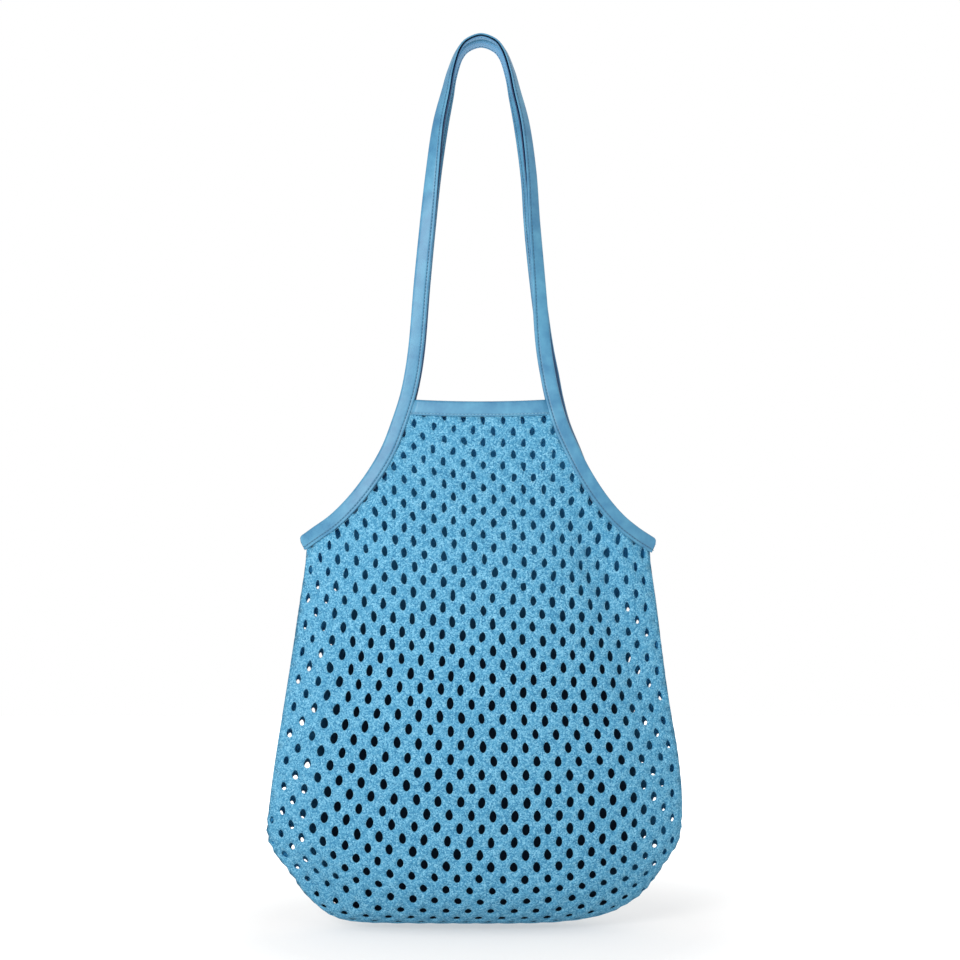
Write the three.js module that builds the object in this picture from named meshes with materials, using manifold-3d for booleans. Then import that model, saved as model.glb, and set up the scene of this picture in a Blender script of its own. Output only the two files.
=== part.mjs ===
// A market bag that hangs by its handles: a net sack, bound and carried by leather strips.
// Millimetres, +Z up, the front faces -Y. The origin is the point where the handles hang.

import * as THREE from "three";
import { mergeVertices } from "three/addons/utils/BufferGeometryUtils.js";
import Module from "manifold-3d";

const wasm = await Module();
wasm.setup();

// Driving dimensions
const NET_WALL = 2.0; // thickness of the net
const CLEARANCE = 0.3; // gap between neighbouring pieces
const STRIP_WIDTH = 12.0; // leather strip, edge to edge
const STRAP_THICK = 3.1; // strip sewn double, where it is a handle
const BINDING_THICK = 5.2; // strip folded over the edge of the net
const STRIP_BEVEL = 1.2; // rounding of the strip's folded edges
const EDGE_COVER = 2.0; // leather that stands beyond the edge of the net
const NECK_TOP = -281; // upper edge of the neck bindings
const STRAP_START = -262; // height where the binding has become a plain strap
const HOOK_SPREAD = 6.5; // distance of each handle from the middle plane on the hook
const BACK_INSET = 3.0; // the back handle runs this far inside the front one at the top
const BACK_DROP = 4.0; // and hangs this much lower on the hook
const BACK_TURN = 0.68; // share of the front handle's turn that the back handle makes
const LIFT_POWER = 2.0; // how the rows of the sack curve up towards their ends
const HOLE_COLUMNS = 40; // columns of openings around the sack
const HOLE_ROW_BELLY = 11.0; // height between rows of openings, low on the sack
const HOLE_ROW_NECK = 8.7; // and under the neck
const BELLY_LEVEL = -545;
const NECK_LEVEL = -310;
const HOLE_TALL = 0.77; // height of an opening, as a share of the height between rows
const HOLE_WIDE = 0.455; // and its width
const HOLE_SHOULDER = 0.25; // share of its half height where its sides stay upright
const CUT_EVERY_SEAM = 2; // openings that are cut: in every second row of facets
const CUT_EVERY_COLUMN = 3; // and every third column
const DENT_LIMIT = 0.6; // largest share of the sack's depth that a dent takes away
const STRAIGHT_FROM = 0.97; // share of the half width past which the strips leave the curve of the sack
const LEATHER_COLOUR = 0x69a8cb;
const NET_COLOUR = 0x62a7cb;

// Rows of the sack, from the line that it closes on underneath up to the neck.
// z: height at the middle. left, right: reach of the ends. lift: rise of the ends over the middle.
// depth: half the distance from front to back. bulge: 0.5 makes an ellipse, 1 a pointed lens.
const SACK_ROWS = [
  { z: -686.6, left: 119, right: 103, lift: 9, depth: 0, bulge: 0.6 },
  { z: -679.6, left: 133, right: 124, lift: 15, depth: 23, bulge: 0.6 },
  { z: -661.0, left: 149, right: 139.5, lift: 16, depth: 39, bulge: 0.66 },
  { z: -634.6, left: 164, right: 154, lift: 13.5, depth: 44.5, bulge: 0.74 },
  { z: -600, left: 163.5, right: 155.8, lift: 10.5, depth: 46, bulge: 0.8 },
  { z: -560, left: 158.5, right: 152.5, lift: 7, depth: 46.5, bulge: 0.84 },
  { z: -520, left: 152.5, right: 146, lift: 4, depth: 46.5, bulge: 0.86 },
  { z: -480, left: 146.5, right: 140.8, lift: 2, depth: 46, bulge: 0.88 },
  { z: -440, left: 141, right: 136, lift: 0, depth: 43.5, bulge: 0.9 },
  { z: -400, left: 135.5, right: 131, lift: 0, depth: 38, bulge: 0.9 },
  { z: -360, left: 136, right: 132, lift: 0, depth: 28, bulge: 0.88 },
  { z: -320, left: 137, right: 133, lift: 0, depth: 16.5, bulge: 0.86 },
  { z: -278, left: 137, right: 133, lift: 0, depth: 10, bulge: 0.85 },
];

// Dents of the sack. x, z: middle. lean: degrees from upright. length, width: half sizes.
// depth: how far the net is pressed in. faces: -1 the front, 0 both.
const DENTS = [
  { x: 89, z: -413, lean: 21, length: 45, width: 14, depth: 5, faces: -1 },
  { x: 116, z: -490, lean: 20, length: 42, width: 14, depth: 4, faces: -1 },
  { x: -109, z: -508, lean: -11, length: 50, width: 11, depth: 4, faces: -1 },
  { x: -138, z: -648, lean: 45, length: 34, width: 20, depth: 8, faces: 0 },
];

// Centre line of the front handle, from the side corners up to the hook.
// left, right: distance from the middle. turn: degrees that its face has turned outwards.
const STRIP_ROWS = [
  { z: -398, left: 144.5, right: 137, turn: 0 },
  { z: -392, left: 136.4, right: 128.4, turn: 0 },
  { z: -385, left: 127.9, right: 118.6, turn: 0 },
  { z: -375, left: 115, right: 106.4, turn: 0 },
  { z: -360, left: 100.5, right: 93.2, turn: 0 },
  { z: -340, left: 84.8, right: 80.8, turn: 0 },
  { z: -320, left: 72.8, right: 71.4, turn: 0 },
  { z: -300, left: 64.9, right: 63.2, turn: 0 },
  { z: -280, left: 58.3, right: 57.5, turn: 0 },
  { z: -262, left: 53.6, right: 53.6, turn: 0 },
  { z: -240, left: 49.9, right: 49.9, turn: 5 },
  { z: -191, left: 45, right: 45, turn: 27 },
  { z: -142, left: 40.6, right: 40.6, turn: 43 },
  { z: -105, left: 38.3, right: 38.3, turn: 58 },
  { z: -66, left: 34, right: 34, turn: 68 },
  { z: -40, left: 28.4, right: 28.4, turn: 74 },
  { z: -26, left: 23.2, right: 23.2, turn: 78 },
  { z: -10, left: 15.2, right: 15.2, turn: 84 },
  { z: -3, left: 9.4, right: 9.4, turn: 88 },
  { z: 1.1, left: 0, right: 0, turn: 90 },
];

// Fineness of the facets
const STEPS_PER_STRIP_ROW = 2;
const NECK_STEPS = 8;
const ARC_SAMPLES = 96;
const MERIDIAN_SAMPLES = 400;
const HALVINGS = 40; // steps of the search for a height
const TOP_MARGIN = 0.5; // rows of the table left free of facet seams under the neck
const TINY = 0.05; // step for slopes taken by difference
const BEYOND = 60; // how far cutters reach past the bag
const HALF_SPACE = 3000; // edge of the block that takes in all of one side
const WELD = 1e-4;
const ROUNDING = 1e-9;

const { lerp, clamp, smoothstep, degToRad } = THREE.MathUtils;

// Sack surface

// Catmull-Rom value of one column of a table at a fractional row. The row under the bottom line mirrors
// the row above it, so that the sack rounds under.
function sackColumn(key, v) {
  const last = SACK_ROWS.length - 1;
  const at = Math.min(Math.floor(v), last - 1);
  const f = v - at;
  const below = SACK_ROWS[Math.abs(at - 1)][key] * (at === 0 && key === "depth" ? -1 : 1);
  const from = SACK_ROWS[at][key];
  const to = SACK_ROWS[at + 1][key];
  const above = at + 2 > last ? 2 * to - from : SACK_ROWS[at + 2][key];
  const slopeFrom = (to - below) / 2;
  const slopeTo = (above - from) / 2;
  const f2 = f * f;
  const f3 = f2 * f;
  const ends = (2 * f3 - 3 * f2 + 1) * from + (3 * f2 - 2 * f3) * to;
  return ends + (f3 - 2 * f2 + f) * slopeFrom + (f3 - f2) * slopeTo;
}

function sackRow(v) {
  return Object.fromEntries(Object.keys(SACK_ROWS[0]).map((key) => [key, sackColumn(key, v)]));
}

// Depth pressed in by the dents at a place of one face.
function dentDepth(x, z, face) {
  return DENTS.filter((dent) => dent.faces === 0 || dent.faces === face)
    .map((dent) => {
      const lean = degToRad(dent.lean);
      const along = ((x - dent.x) * Math.sin(lean) - (z - dent.z) * Math.cos(lean)) / dent.length;
      const across = ((x - dent.x) * Math.cos(lean) + (z - dent.z) * Math.sin(lean)) / dent.width;
      return dent.depth * Math.exp(-along * along - across * across);
    })
    .reduce((sum, depth) => sum + depth, 0);
}

// Point of a row at s, from -1 at its left end to 1 at its right, on the front (face -1) or the back (1).
function rowPoint(row, s, face) {
  const x = s * (s < 0 ? row.left : row.right);
  const z = row.z + row.lift * Math.abs(s) ** LIFT_POWER;
  const full = row.depth * Math.max(0, 1 - s * s) ** row.bulge;
  const pressed = Math.min(dentDepth(x, z, face), DENT_LIMIT * full);
  return new THREE.Vector3(x, face * (full - pressed), z);
}

// Places s along one face of a row that cut its length at the given shares.
function spreadAlong(row, shares, face) {
  const places = Array.from({ length: ARC_SAMPLES + 1 }, (_, i) => -Math.cos((Math.PI * i) / ARC_SAMPLES));
  const points = places.map((s) => rowPoint(row, s, face));
  const run = [0];
  points.slice(1).forEach((point, i) => run.push(run[i] + point.distanceTo(points[i])));
  return shares.map((share) => {
    const want = share * run[ARC_SAMPLES];
    const i = Math.max(1, run.findIndex((length) => length >= want - ROUNDING));
    return lerp(places[i - 1], places[i], (want - run[i - 1]) / (run[i] - run[i - 1]));
  });
}

// Row of the sack at a height, where the rows are level.
function rowAtHeight(z) {
  let low = 0;
  let high = SACK_ROWS.length - 1;
  for (let i = 0; i < HALVINGS; i++) {
    const middle = (low + high) / 2;
    if (sackColumn("z", middle) < z) low = middle;
    else high = middle;
  }
  return sackRow(low);
}

// Y of the undented front at x, z, carried on in a straight line past the side.
function frontY(x, z) {
  const row = rowAtHeight(z);
  const s = Math.abs(x) / (x < 0 ? row.left : row.right);
  const inside = Math.min(s, STRAIGHT_FROM);
  const rest = 1 - inside * inside;
  const slope = -2 * inside * row.bulge * rest ** (row.bulge - 1);
  return -row.depth * (rest ** row.bulge + slope * (s - inside));
}

// Outward normal of the undented front.
function frontNormal(x, z) {
  const slopeX = (frontY(x + TINY, z) - frontY(x - TINY, z)) / (2 * TINY);
  const slopeZ = (frontY(x, z + TINY) - frontY(x, z - TINY)) / (2 * TINY);
  return new THREE.Vector3(slopeX, -1, slopeZ).normalize();
}

// Solids

function geometryFrom(points, faces) {
  const geometry = new THREE.BufferGeometry();
  geometry.setAttribute("position", new THREE.Float32BufferAttribute(points.flatMap((p) => p.toArray()), 3));
  geometry.setIndex(faces.flat());
  return geometry;
}

function toSolid(geometry) {
  const bare = geometry.clone();
  bare.deleteAttribute("normal");
  bare.deleteAttribute("uv");
  const merged = mergeVertices(bare, WELD);
  const vertProperties = Float32Array.from(merged.attributes.position.array);
  const triVerts = Uint32Array.from(merged.index.array);
  return new wasm.Manifold(new wasm.Mesh({ numProp: 3, vertProperties, triVerts }));
}

function toMesh(name, solid, material) {
  const { vertProperties, triVerts } = solid.getMesh();
  const geometry = new THREE.BufferGeometry();
  geometry.setAttribute("position", new THREE.BufferAttribute(vertProperties, 3));
  geometry.setIndex(new THREE.BufferAttribute(triVerts, 1));
  geometry.computeVertexNormals();
  const mesh = new THREE.Mesh(geometry, material);
  mesh.name = name;
  return mesh;
}

const quad = (a, b, c, d) => [a, b, c, a, c, d];

// Closed body over rings of equal count, with flat ends.
function skin(rings) {
  const count = rings[0].length;
  const faces = [];
  for (let k = 0; k + 1 < rings.length; k++) {
    for (let i = 0; i < count; i++) {
      const next = (i + 1) % count;
      faces.push(quad(k * count + i, k * count + next, (k + 1) * count + next, (k + 1) * count + i));
    }
  }
  const end = (rings.length - 1) * count;
  for (let i = 1; i + 1 < count; i++) {
    faces.push([0, i + 1, i], [end, end + i, end + i + 1]);
  }
  return geometryFrom(rings.flat(), faces);
}

// Net sack

// Grid of the sack's outer side. Its facets meet on every other row of openings, so that each opening of the
// rows between lies in the middle of a facet. Under the bag, front and back share the closing line.
function sackGrid() {
  const top = SACK_ROWS.length - 1;
  const seams = openingRows().filter((v, r) => r % 2 === 1 && v < top - TOP_MARGIN);
  const levels = [0, ...seams, top];
  const half = HOLE_COLUMNS / 2;
  const shares = Array.from({ length: half + 1 }, (_, i) => i / half);
  const points = [];
  levels.forEach((v, r) => {
    const row = sackRow(v);
    const facePoints = (at, face) => spreadAlong(row, at, face).map((s) => rowPoint(row, s, face));
    points.push(...facePoints(shares, -1));
    if (r > 0) points.push(...facePoints(shares.slice(1, -1), 1).reverse());
  });
  const index = (r, i) => {
    const column = i % HOLE_COLUMNS;
    if (r === 0) return column <= half ? column : HOLE_COLUMNS - column;
    return half + 1 + (r - 1) * HOLE_COLUMNS + column;
  };
  const facets = [];
  for (let r = 0; r + 1 < levels.length; r++) {
    for (let i = 0; i < HOLE_COLUMNS; i++) {
      const corners = [index(r, i), index(r, i + 1), index(r + 1, i + 1), index(r + 1, i)];
      const opening = r % CUT_EVERY_SEAM === 1 && (i + r) % CUT_EVERY_COLUMN === 1;
      facets.push({ corners, opening });
    }
  }
  const rim = Array.from({ length: HOLE_COLUMNS }, (_, i) => index(levels.length - 1, i));
  return { points, facets, rim };
}

// The grid's points moved out by a distance that holds square to its facets.
function offsetPoints({ points, facets }, distance) {
  const normals = points.map(() => []);
  for (const { corners } of facets) {
    const [a, b, c, d] = corners.map((i) => points[i]);
    const normal = c.clone().sub(a).cross(d.clone().sub(b)).normalize();
    for (const i of corners) normals[i].push(normal);
  }
  return points.map((point, i) => {
    const mean = normals[i].reduce((sum, normal) => sum.add(normal), new THREE.Vector3()).normalize();
    const lean = normals[i].reduce((sum, normal) => sum + normal.dot(mean), 0) / normals[i].length;
    return point.clone().addScaledVector(mean, distance / lean);
  });
}

// Corners of an opening in the middle of a facet, from its lower tip round by the right side.
function openingRing([a, b, c, d]) {
  const step = a.distanceTo(d) / 2;
  const wide = (HOLE_WIDE * step) / a.distanceTo(b) / 2;
  const tall = HOLE_TALL / 4;
  const side = HOLE_SHOULDER;
  const oval = [[0, -1], [1, -side], [1, side], [0, 1], [-1, side], [-1, -side]];
  return oval.map(([x, y]) => {
    const low = a.clone().lerp(b, 0.5 + x * wide);
    const high = d.clone().lerp(c, 0.5 + x * wide);
    return low.lerp(high, 0.5 + y * tall);
  });
}

// Triangles between the four corners of a facet and the six of its opening.
function rimFaces([a, b, c, d], [low, rightLow, rightHigh, high, leftHigh, leftLow]) {
  return [
    [a, b, low], [b, rightLow, low], quad(b, c, rightHigh, rightLow), [c, high, rightHigh],
    [c, d, high], [d, leftHigh, high], quad(d, a, leftLow, leftHigh), [a, low, leftLow],
  ];
}

// Open-topped shell of the sack, grown by a margin on both sides, with or without its openings.
function sackShell(grid, margin, isOpen) {
  const outer = offsetPoints(grid, margin);
  const inner = offsetPoints(grid, -NET_WALL - margin);
  const points = [...outer, ...inner];
  const behind = (i) => i + outer.length;
  const faces = [];
  for (const facet of grid.facets) {
    const front = facet.corners;
    const back = front.map(behind);
    if (!isOpen(facet)) {
      faces.push(quad(...front), quad(...back).reverse());
      continue;
    }
    const [frontRing, backRing] = [front, back].map((corners) => {
      return openingRing(corners.map((i) => points[i])).map((point) => points.push(point) - 1);
    });
    faces.push(...rimFaces(front, frontRing), ...rimFaces(back, backRing).map((face) => face.reverse()));
    frontRing.forEach((i, k) => {
      const next = (k + 1) % frontRing.length;
      faces.push(quad(i, frontRing[next], backRing[next], backRing[k]));
    });
  }
  grid.rim.forEach((i, k) => {
    const next = grid.rim[(k + 1) % grid.rim.length];
    faces.push(quad(i, next, behind(next), behind(i)));
  });
  return toSolid(geometryFrom(points, faces));
}

// Block in front view that holds the net: below the neck and between the armhole edges.
function netBlock(stations, margin) {
  const reach = STRIP_WIDTH / 2 - EDGE_COVER + margin;
  const top = NECK_TOP - EDGE_COVER + margin;
  const edge = stations.map(({ point, along }) => {
    const outward = new THREE.Vector2(-along.z, along.x).setLength(reach);
    return new THREE.Vector2(point.x + outward.x, Math.min(point.z + outward.y, top));
  });
  const below = edge.filter((_, i) => edge.slice(Math.max(0, i - 1), i + 2).some((place) => place.y < top));
  const side = Math.max(...SACK_ROWS.map((row) => row.left)) + BEYOND;
  const bottom = SACK_ROWS[0].z - BEYOND;
  const outline = new THREE.Shape([
    new THREE.Vector2(-side, bottom),
    new THREE.Vector2(side, bottom),
    new THREE.Vector2(side, below.at(-1).y),
    ...below.reverse(),
    new THREE.Vector2(-side, below.at(-1).y),
  ]);
  const block = new THREE.ExtrudeGeometry(outline, { depth: 2 * BEYOND, bevelEnabled: false });
  return toSolid(block.rotateX(Math.PI / 2).translate(0, BEYOND, 0));
}

// Heights of the rows of openings, as fractional rows of the sack, from the bottom up. The first row lies
// half a step from the closing line, measured up the middle of the front.
function openingRows() {
  const last = SACK_ROWS.length - 1;
  const rows = [];
  let previous = rowPoint(sackRow(0), 0, -1);
  let left = HOLE_ROW_BELLY / 2;
  for (let i = 1; i <= MERIDIAN_SAMPLES; i++) {
    const v = (last * i) / MERIDIAN_SAMPLES;
    const point = rowPoint(sackRow(v), 0, -1);
    left -= point.distanceTo(previous);
    previous = point;
    const share = clamp((point.z - BELLY_LEVEL) / (NECK_LEVEL - BELLY_LEVEL), 0, 1);
    if (left > 0) continue;
    rows.push(v);
    left += lerp(HOLE_ROW_BELLY, HOLE_ROW_NECK, share);
  }
  return rows;
}

// Leather strips

// Stations along one handle's strip from its left corner over the hook to its right corner.
function stripStations({ inset, drop, turnShare }) {
  const rows = STRIP_ROWS.map((row) => {
    const rise = smoothstep(row.z, STRAP_START, 0);
    return { ...row, z: row.z - drop * rise, inset: inset * rise, turn: row.turn * turnShare, rise };
  });
  const place = (row, sign) => {
    const reach = Math.max(0, (sign < 0 ? row.left : row.right) - (row.left > 0 ? row.inset : 0));
    const x = sign * reach;
    const onNet = frontY(x, row.z) + NET_WALL / 2;
    return new THREE.Vector3(x, lerp(onNet, -HOOK_SPREAD, row.rise), row.z);
  };
  const down = rows.slice(0, -1).reverse();
  const route = [...rows.map((row) => place(row, -1)), ...down.map((row) => place(row, 1))];
  const turns = [...rows, ...down].map((row) => row.turn);
  const curve = new THREE.CatmullRomCurve3(route, false, "centripetal");
  const steps = (route.length - 1) * STEPS_PER_STRIP_ROW;
  return Array.from({ length: steps + 1 }, (_, k) => {
    const t = k / steps;
    const at = Math.min(Math.floor(t * (route.length - 1)), route.length - 2);
    const turn = degToRad(lerp(turns[at], turns[at + 1], t * (route.length - 1) - at));
    const point = curve.getPoint(t);
    const along = curve.getTangent(t);
    const front = frontNormal(point.x, point.z);
    const outward = front.clone().cross(along).normalize();
    const face = front.multiplyScalar(Math.cos(turn)).addScaledVector(outward, Math.sin(turn));
    const across = face.clone().cross(along).normalize();
    return { point, along, across, face: along.clone().cross(across).normalize() };
  });
}

// Station nearest to a place in front view, on the same side of the bag.
function nearestStation(stations, { x, z }) {
  const side = stations.filter(({ point }) => point.x * x > 0);
  const gap = ({ point }) => Math.hypot(point.x - x, point.z - z);
  return side.reduce((a, b) => (gap(a) < gap(b) ? a : b));
}

// Flat section of a strip at a station, with pointed edges.
function stripRing({ point, across, face }, width, thick) {
  const a = width / 2;
  const b = thick / 2;
  const c = STRIP_BEVEL;
  const corners = [[a, 0], [a - c, b], [c - a, b], [-a, 0], [c - a, -b], [a - c, -b]];
  return corners.map(([x, y]) => point.clone().addScaledVector(across, x).addScaledVector(face, y));
}

// Strip swept over its stations: thick where it is folded over the net, thinner where it is a strap.
function stripSolid(stations, margin) {
  const rings = stations.map((station) => {
    const strap = smoothstep(station.point.z, NECK_TOP, STRAP_START);
    const thick = lerp(BINDING_THICK, STRAP_THICK, strap);
    return stripRing(station, STRIP_WIDTH + 2 * margin, thick + 2 * margin);
  });
  return skin(rings);
}

// Turn a piece of the front round to the back of the middle plane.
function mirrored(geometry) {
  const turned = geometry.clone().scale(1, -1, 1);
  turned.setIndex(Array.from(turned.index.array).reverse());
  return turned;
}

// Half of space on one side of the middle plane, less half the clearance.
function sideBlock(side) {
  const block = new THREE.BoxGeometry(HALF_SPACE, HALF_SPACE, HALF_SPACE);
  return toSolid(block.translate(0, (side * (HALF_SPACE + CLEARANCE)) / 2, 0));
}

// Binding over the neck edge, from the middle of one strap to the middle of the other.
function neckStrip(stations) {
  const z = NECK_TOP - STRIP_WIDTH / 2;
  const [left, right] = [-1, 1].map((sign) => nearestStation(stations, { x: sign * STRIP_WIDTH, z }).point.x);
  const rings = Array.from({ length: NECK_STEPS + 1 }, (_, k) => {
    const x = lerp(left, right, k / NECK_STEPS);
    const face = frontNormal(x, z);
    const point = new THREE.Vector3(x, frontY(x, z) + NET_WALL / 2, z);
    const along = new THREE.Vector3(1, 0, 0).addScaledVector(face, -face.x).normalize();
    return stripRing({ point, across: face.clone().cross(along), face }, STRIP_WIDTH, BINDING_THICK);
  });
  return skin(rings);
}

// True where a facet of the net shows whole: below the neck binding and clear of the strips.
function showsWhole(corners, stations) {
  return corners.every((point) => {
    const nearest = nearestStation(stations, point);
    const inward = new THREE.Vector2(nearest.along.z, -nearest.along.x).normalize();
    const inside = inward.x * (point.x - nearest.point.x) + inward.y * (point.z - nearest.point.z);
    return inside > STRIP_WIDTH / 2 && point.z < NECK_TOP - STRIP_WIDTH;
  });
}

// Assembly

const leather = () => new THREE.MeshStandardMaterial({ color: LEATHER_COLOUR, roughness: 0.45 });
const net = new THREE.MeshStandardMaterial({ color: NET_COLOUR, roughness: 0.85 });

const frontStations = stripStations({ inset: 0, drop: 0, turnShare: 1 });
const backStations = stripStations({ inset: BACK_INSET, drop: BACK_DROP, turnShare: BACK_TURN });

const grid = sackGrid();
const showsInGrid = (corners) => showsWhole(corners.map((i) => grid.points[i]), frontStations);
const isOpen = ({ corners, opening }) => opening && showsInGrid(corners);
const pierced = sackShell(grid, 0, isOpen).intersect(netBlock(frontStations, 0));
const netRoom = sackShell(grid, CLEARANCE, () => false).intersect(netBlock(frontStations, CLEARANCE));

const frontStrip = toSolid(stripSolid(frontStations, 0));
const backStrip = toSolid(mirrored(stripSolid(backStations, 0)));
const frontRoom = toSolid(stripSolid(frontStations, CLEARANCE)).add(netRoom);
const backRoom = toSolid(mirrored(stripSolid(backStations, CLEARANCE))).add(netRoom);
const frontNeck = toSolid(neckStrip(frontStations));
const backNeck = toSolid(mirrored(neckStrip(backStations)));

const bag = new THREE.Group();
bag.add(
  toMesh("mesh_body", pierced, net),
  toMesh("front_handle", frontStrip.intersect(sideBlock(-1)).subtract(netRoom), leather()),
  toMesh("back_handle", backStrip.intersect(sideBlock(1)).subtract(netRoom), leather()),
  toMesh("front_neck_binding", frontNeck.subtract(frontRoom), leather()),
  toMesh("back_neck_binding", backNeck.subtract(backRoom), leather())
);

export default bag;
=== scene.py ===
# %% [markdown]
# # A net market bag, hung by its handles
#
# The bag is a blue net with a grainy, yarn-like face. Folded leather strips bind its
# armholes and neck, and run on upwards as two long handles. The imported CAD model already
# holds the size and the place of each piece; this notebook gives each piece its real surface.
# Everything is in metres, +Z is up, the front faces -Y, and the origin is where the handles hang.
#
# The surfaces could be sculpted, or made from the solids with modifiers. They are worked out as
# arrays instead, from short tables like those of the solids. Some rows are moved by a few
# millimetres, where soft net and leather hang differently than a plain solid.

import bpy
import numpy as np
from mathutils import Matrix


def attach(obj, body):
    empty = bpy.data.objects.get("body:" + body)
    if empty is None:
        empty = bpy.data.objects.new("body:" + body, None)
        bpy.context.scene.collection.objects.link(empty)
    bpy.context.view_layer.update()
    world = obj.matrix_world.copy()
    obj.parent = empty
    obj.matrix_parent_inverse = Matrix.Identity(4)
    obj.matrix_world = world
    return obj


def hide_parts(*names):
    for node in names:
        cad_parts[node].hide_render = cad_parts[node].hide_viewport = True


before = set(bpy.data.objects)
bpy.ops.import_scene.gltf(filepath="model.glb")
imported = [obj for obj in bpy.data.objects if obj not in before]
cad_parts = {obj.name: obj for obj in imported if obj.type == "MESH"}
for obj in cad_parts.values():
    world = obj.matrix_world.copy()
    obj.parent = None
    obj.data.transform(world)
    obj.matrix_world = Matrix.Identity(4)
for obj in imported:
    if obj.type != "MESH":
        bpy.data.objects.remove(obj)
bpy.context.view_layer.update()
MM = 0.001

# %% [markdown]
# ## Camera
#
# The bag is seen straight from the front, at the height of its middle, from a little under two
# metres. A camera could be fitted by eye; here the lens follows from the width that the square
# picture takes in, so that one pixel is a known length of bag.

# %% Camera
PICTURE_SIDE = 960  # pixels
PIXEL = 0.775 * MM  # length of one pixel in the middle plane of the bag
VIEW_CENTRE = np.array([-0.8, 0, -343.3]) * MM
CAMERA_DISTANCE = 1.8
SENSOR = 36.0

optics = bpy.data.cameras.new("camera")
optics.sensor_width = SENSOR
optics.lens = SENSOR * CAMERA_DISTANCE / (PICTURE_SIDE * PIXEL)
camera = bpy.data.objects.new("camera", optics)
camera.location = VIEW_CENTRE - (0, CAMERA_DISTANCE, 0)
camera.rotation_euler = (np.pi / 2, 0, 0)
bpy.context.collection.objects.link(camera)
bpy.context.scene.camera = camera
print(f"lens {optics.lens:.1f} mm")

# %% [markdown]
# ## From arrays to a mesh
#
# Blender can build a mesh face by face with bmesh, which is slow for a net of this many
# openings. foreach_set copies whole arrays at once. One helper does this for every piece; it
# also stores named numbers on the points, which the finishes read later.

# %% Helpers for arrays


def add_piece(name, points, faces, marks=None):
    """A smooth mesh object from points (n x 3) and faces, a list of index arrays with one row per face.
    marks holds named numbers, one for each point."""
    mesh = bpy.data.meshes.new(name)
    sizes = np.concatenate([np.full(len(rows), rows.shape[1]) for rows in faces])
    corners = np.concatenate([rows.ravel() for rows in faces]).astype(np.int32)
    starts = np.concatenate([[0], np.cumsum(sizes)[:-1]]).astype(np.int32)
    mesh.vertices.add(len(points))
    mesh.vertices.foreach_set("co", np.asarray(points, np.float32).ravel())
    mesh.loops.add(len(corners))
    mesh.loops.foreach_set("vertex_index", corners)
    mesh.polygons.add(len(sizes))
    mesh.polygons.foreach_set("loop_start", starts)
    mesh.polygons.foreach_set("use_smooth", np.ones(len(sizes), bool))
    for mark, values in (marks or {}).items():
        layer = mesh.attributes.new(mark, "FLOAT", "POINT")
        layer.data.foreach_set("value", np.asarray(values, np.float32).ravel())
    mesh.update(calc_edges=True)
    mesh.validate()
    piece = bpy.data.objects.new(name, mesh)
    bpy.context.collection.objects.link(piece)
    print(f"{name}: {len(points)} points, {int((sizes - 2).sum())} triangles")
    return piece


def unit(vectors):
    """Each vector divided by its own length."""
    return vectors / np.linalg.norm(vectors, axis=-1, keepdims=True)


def lerp(start, end, share):
    """The value that lies at a share of the way from start to end."""
    return start + (end - start) * share


def smoothstep(values, low, high):
    """0 under low, 1 over high, and a curve with level ends, 3t^2 - 2t^3, between them."""
    t = np.clip((values - low) / (high - low), 0, 1)
    return t * t * (3 - 2 * t)


def look_up(table, at):
    """The other columns of a table, at places along its first column, straight between its rows."""
    return [np.interp(at, table[:, 0], column) for column in table.T[1:]]


def running_length(line):
    """Length of a line of points from its start up to each point."""
    return np.pad(np.cumsum(np.linalg.norm(np.diff(line, axis=0), axis=1)), (1, 0))


def hermite(start, end, leave, arrive, f):
    """The cubic from start (f = 0) to end (f = 1) that leaves and arrives with the given slopes."""
    value = (2 * f**3 - 3 * f**2 + 1) * start + (3 * f**2 - 2 * f**3) * end
    return value + (f**3 - 2 * f**2 + f) * leave + (f**3 - f**2) * arrive


# %% [markdown]
# ## Form of the sack
#
# Empty, the sack hangs as a flat lens: two faces that meet in a fold along both sides and
# underneath, fullest low down, with a few soft dents. It could be a simulated cloth, but an
# empty bag of stiff net keeps this calm shape by itself. A table of rows, from the
# closing line underneath up to the neck, gives it directly, and curves between rows round it off.

# %% Rows and dents of the sack
# height of the middle, reach to the left and right, rise of the ends, half depth, bulge
SACK_ROWS = np.array([
    (-686.6, 121.5, 103, 9, 0, 0.6),
    (-679.6, 136, 124, 15, 23, 0.6),
    (-661, 150.5, 139.5, 16, 39, 0.66),
    (-634.6, 165.8, 154, 13.5, 44.5, 0.74),
    (-600, 163.5, 155.8, 10.5, 46, 0.8),
    (-560, 158.5, 152.5, 7, 46.5, 0.84),
    (-520, 152.5, 146, 4, 46.5, 0.86),
    (-480, 146.5, 140.8, 2, 46, 0.88),
    (-440, 141, 136, 0, 43.5, 0.9),
    (-400, 135.5, 131, 0, 38, 0.9),
    (-360, 136, 132, 0, 28, 0.88),
    (-320, 137, 133, 0, 16.5, 0.86),
    (-278, 137, 133, 0, 10, 0.85),
]) * (MM, MM, MM, MM, MM, 1)
# middle x and z, lean in degrees, half length, half width, depth, face (-1 front, 0 both)
DENTS = [
    (89, -413, 21, 45, 14, 5, -1),
    (95, -401, 14, 24, 6, 3.5, -1),
    (83, -404, 10, 18, 5, 2.5, -1),
    (116, -490, 20, 42, 14, 4, -1),
    (-109, -508, -11, 50, 11, 4, -1),
    (-138, -648, 45, 34, 20, 8, 0),
]
DENT_LIMIT = 0.6  # largest share of the depth that a dent takes away
LIFT_POWER = 2.0
CORNER_LEFT, CORNER_RIGHT = 10.0, 4.0  # the same power on the closing line: the left corner is sharper
CORNER_LEVELS = (-686.6 * MM, -662 * MM)
FRONT, BACK = -1, 1
TOP_ROW = len(SACK_ROWS) - 1
print(f"{len(SACK_ROWS)} rows and {len(DENTS)} dents describe the sack")

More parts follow.
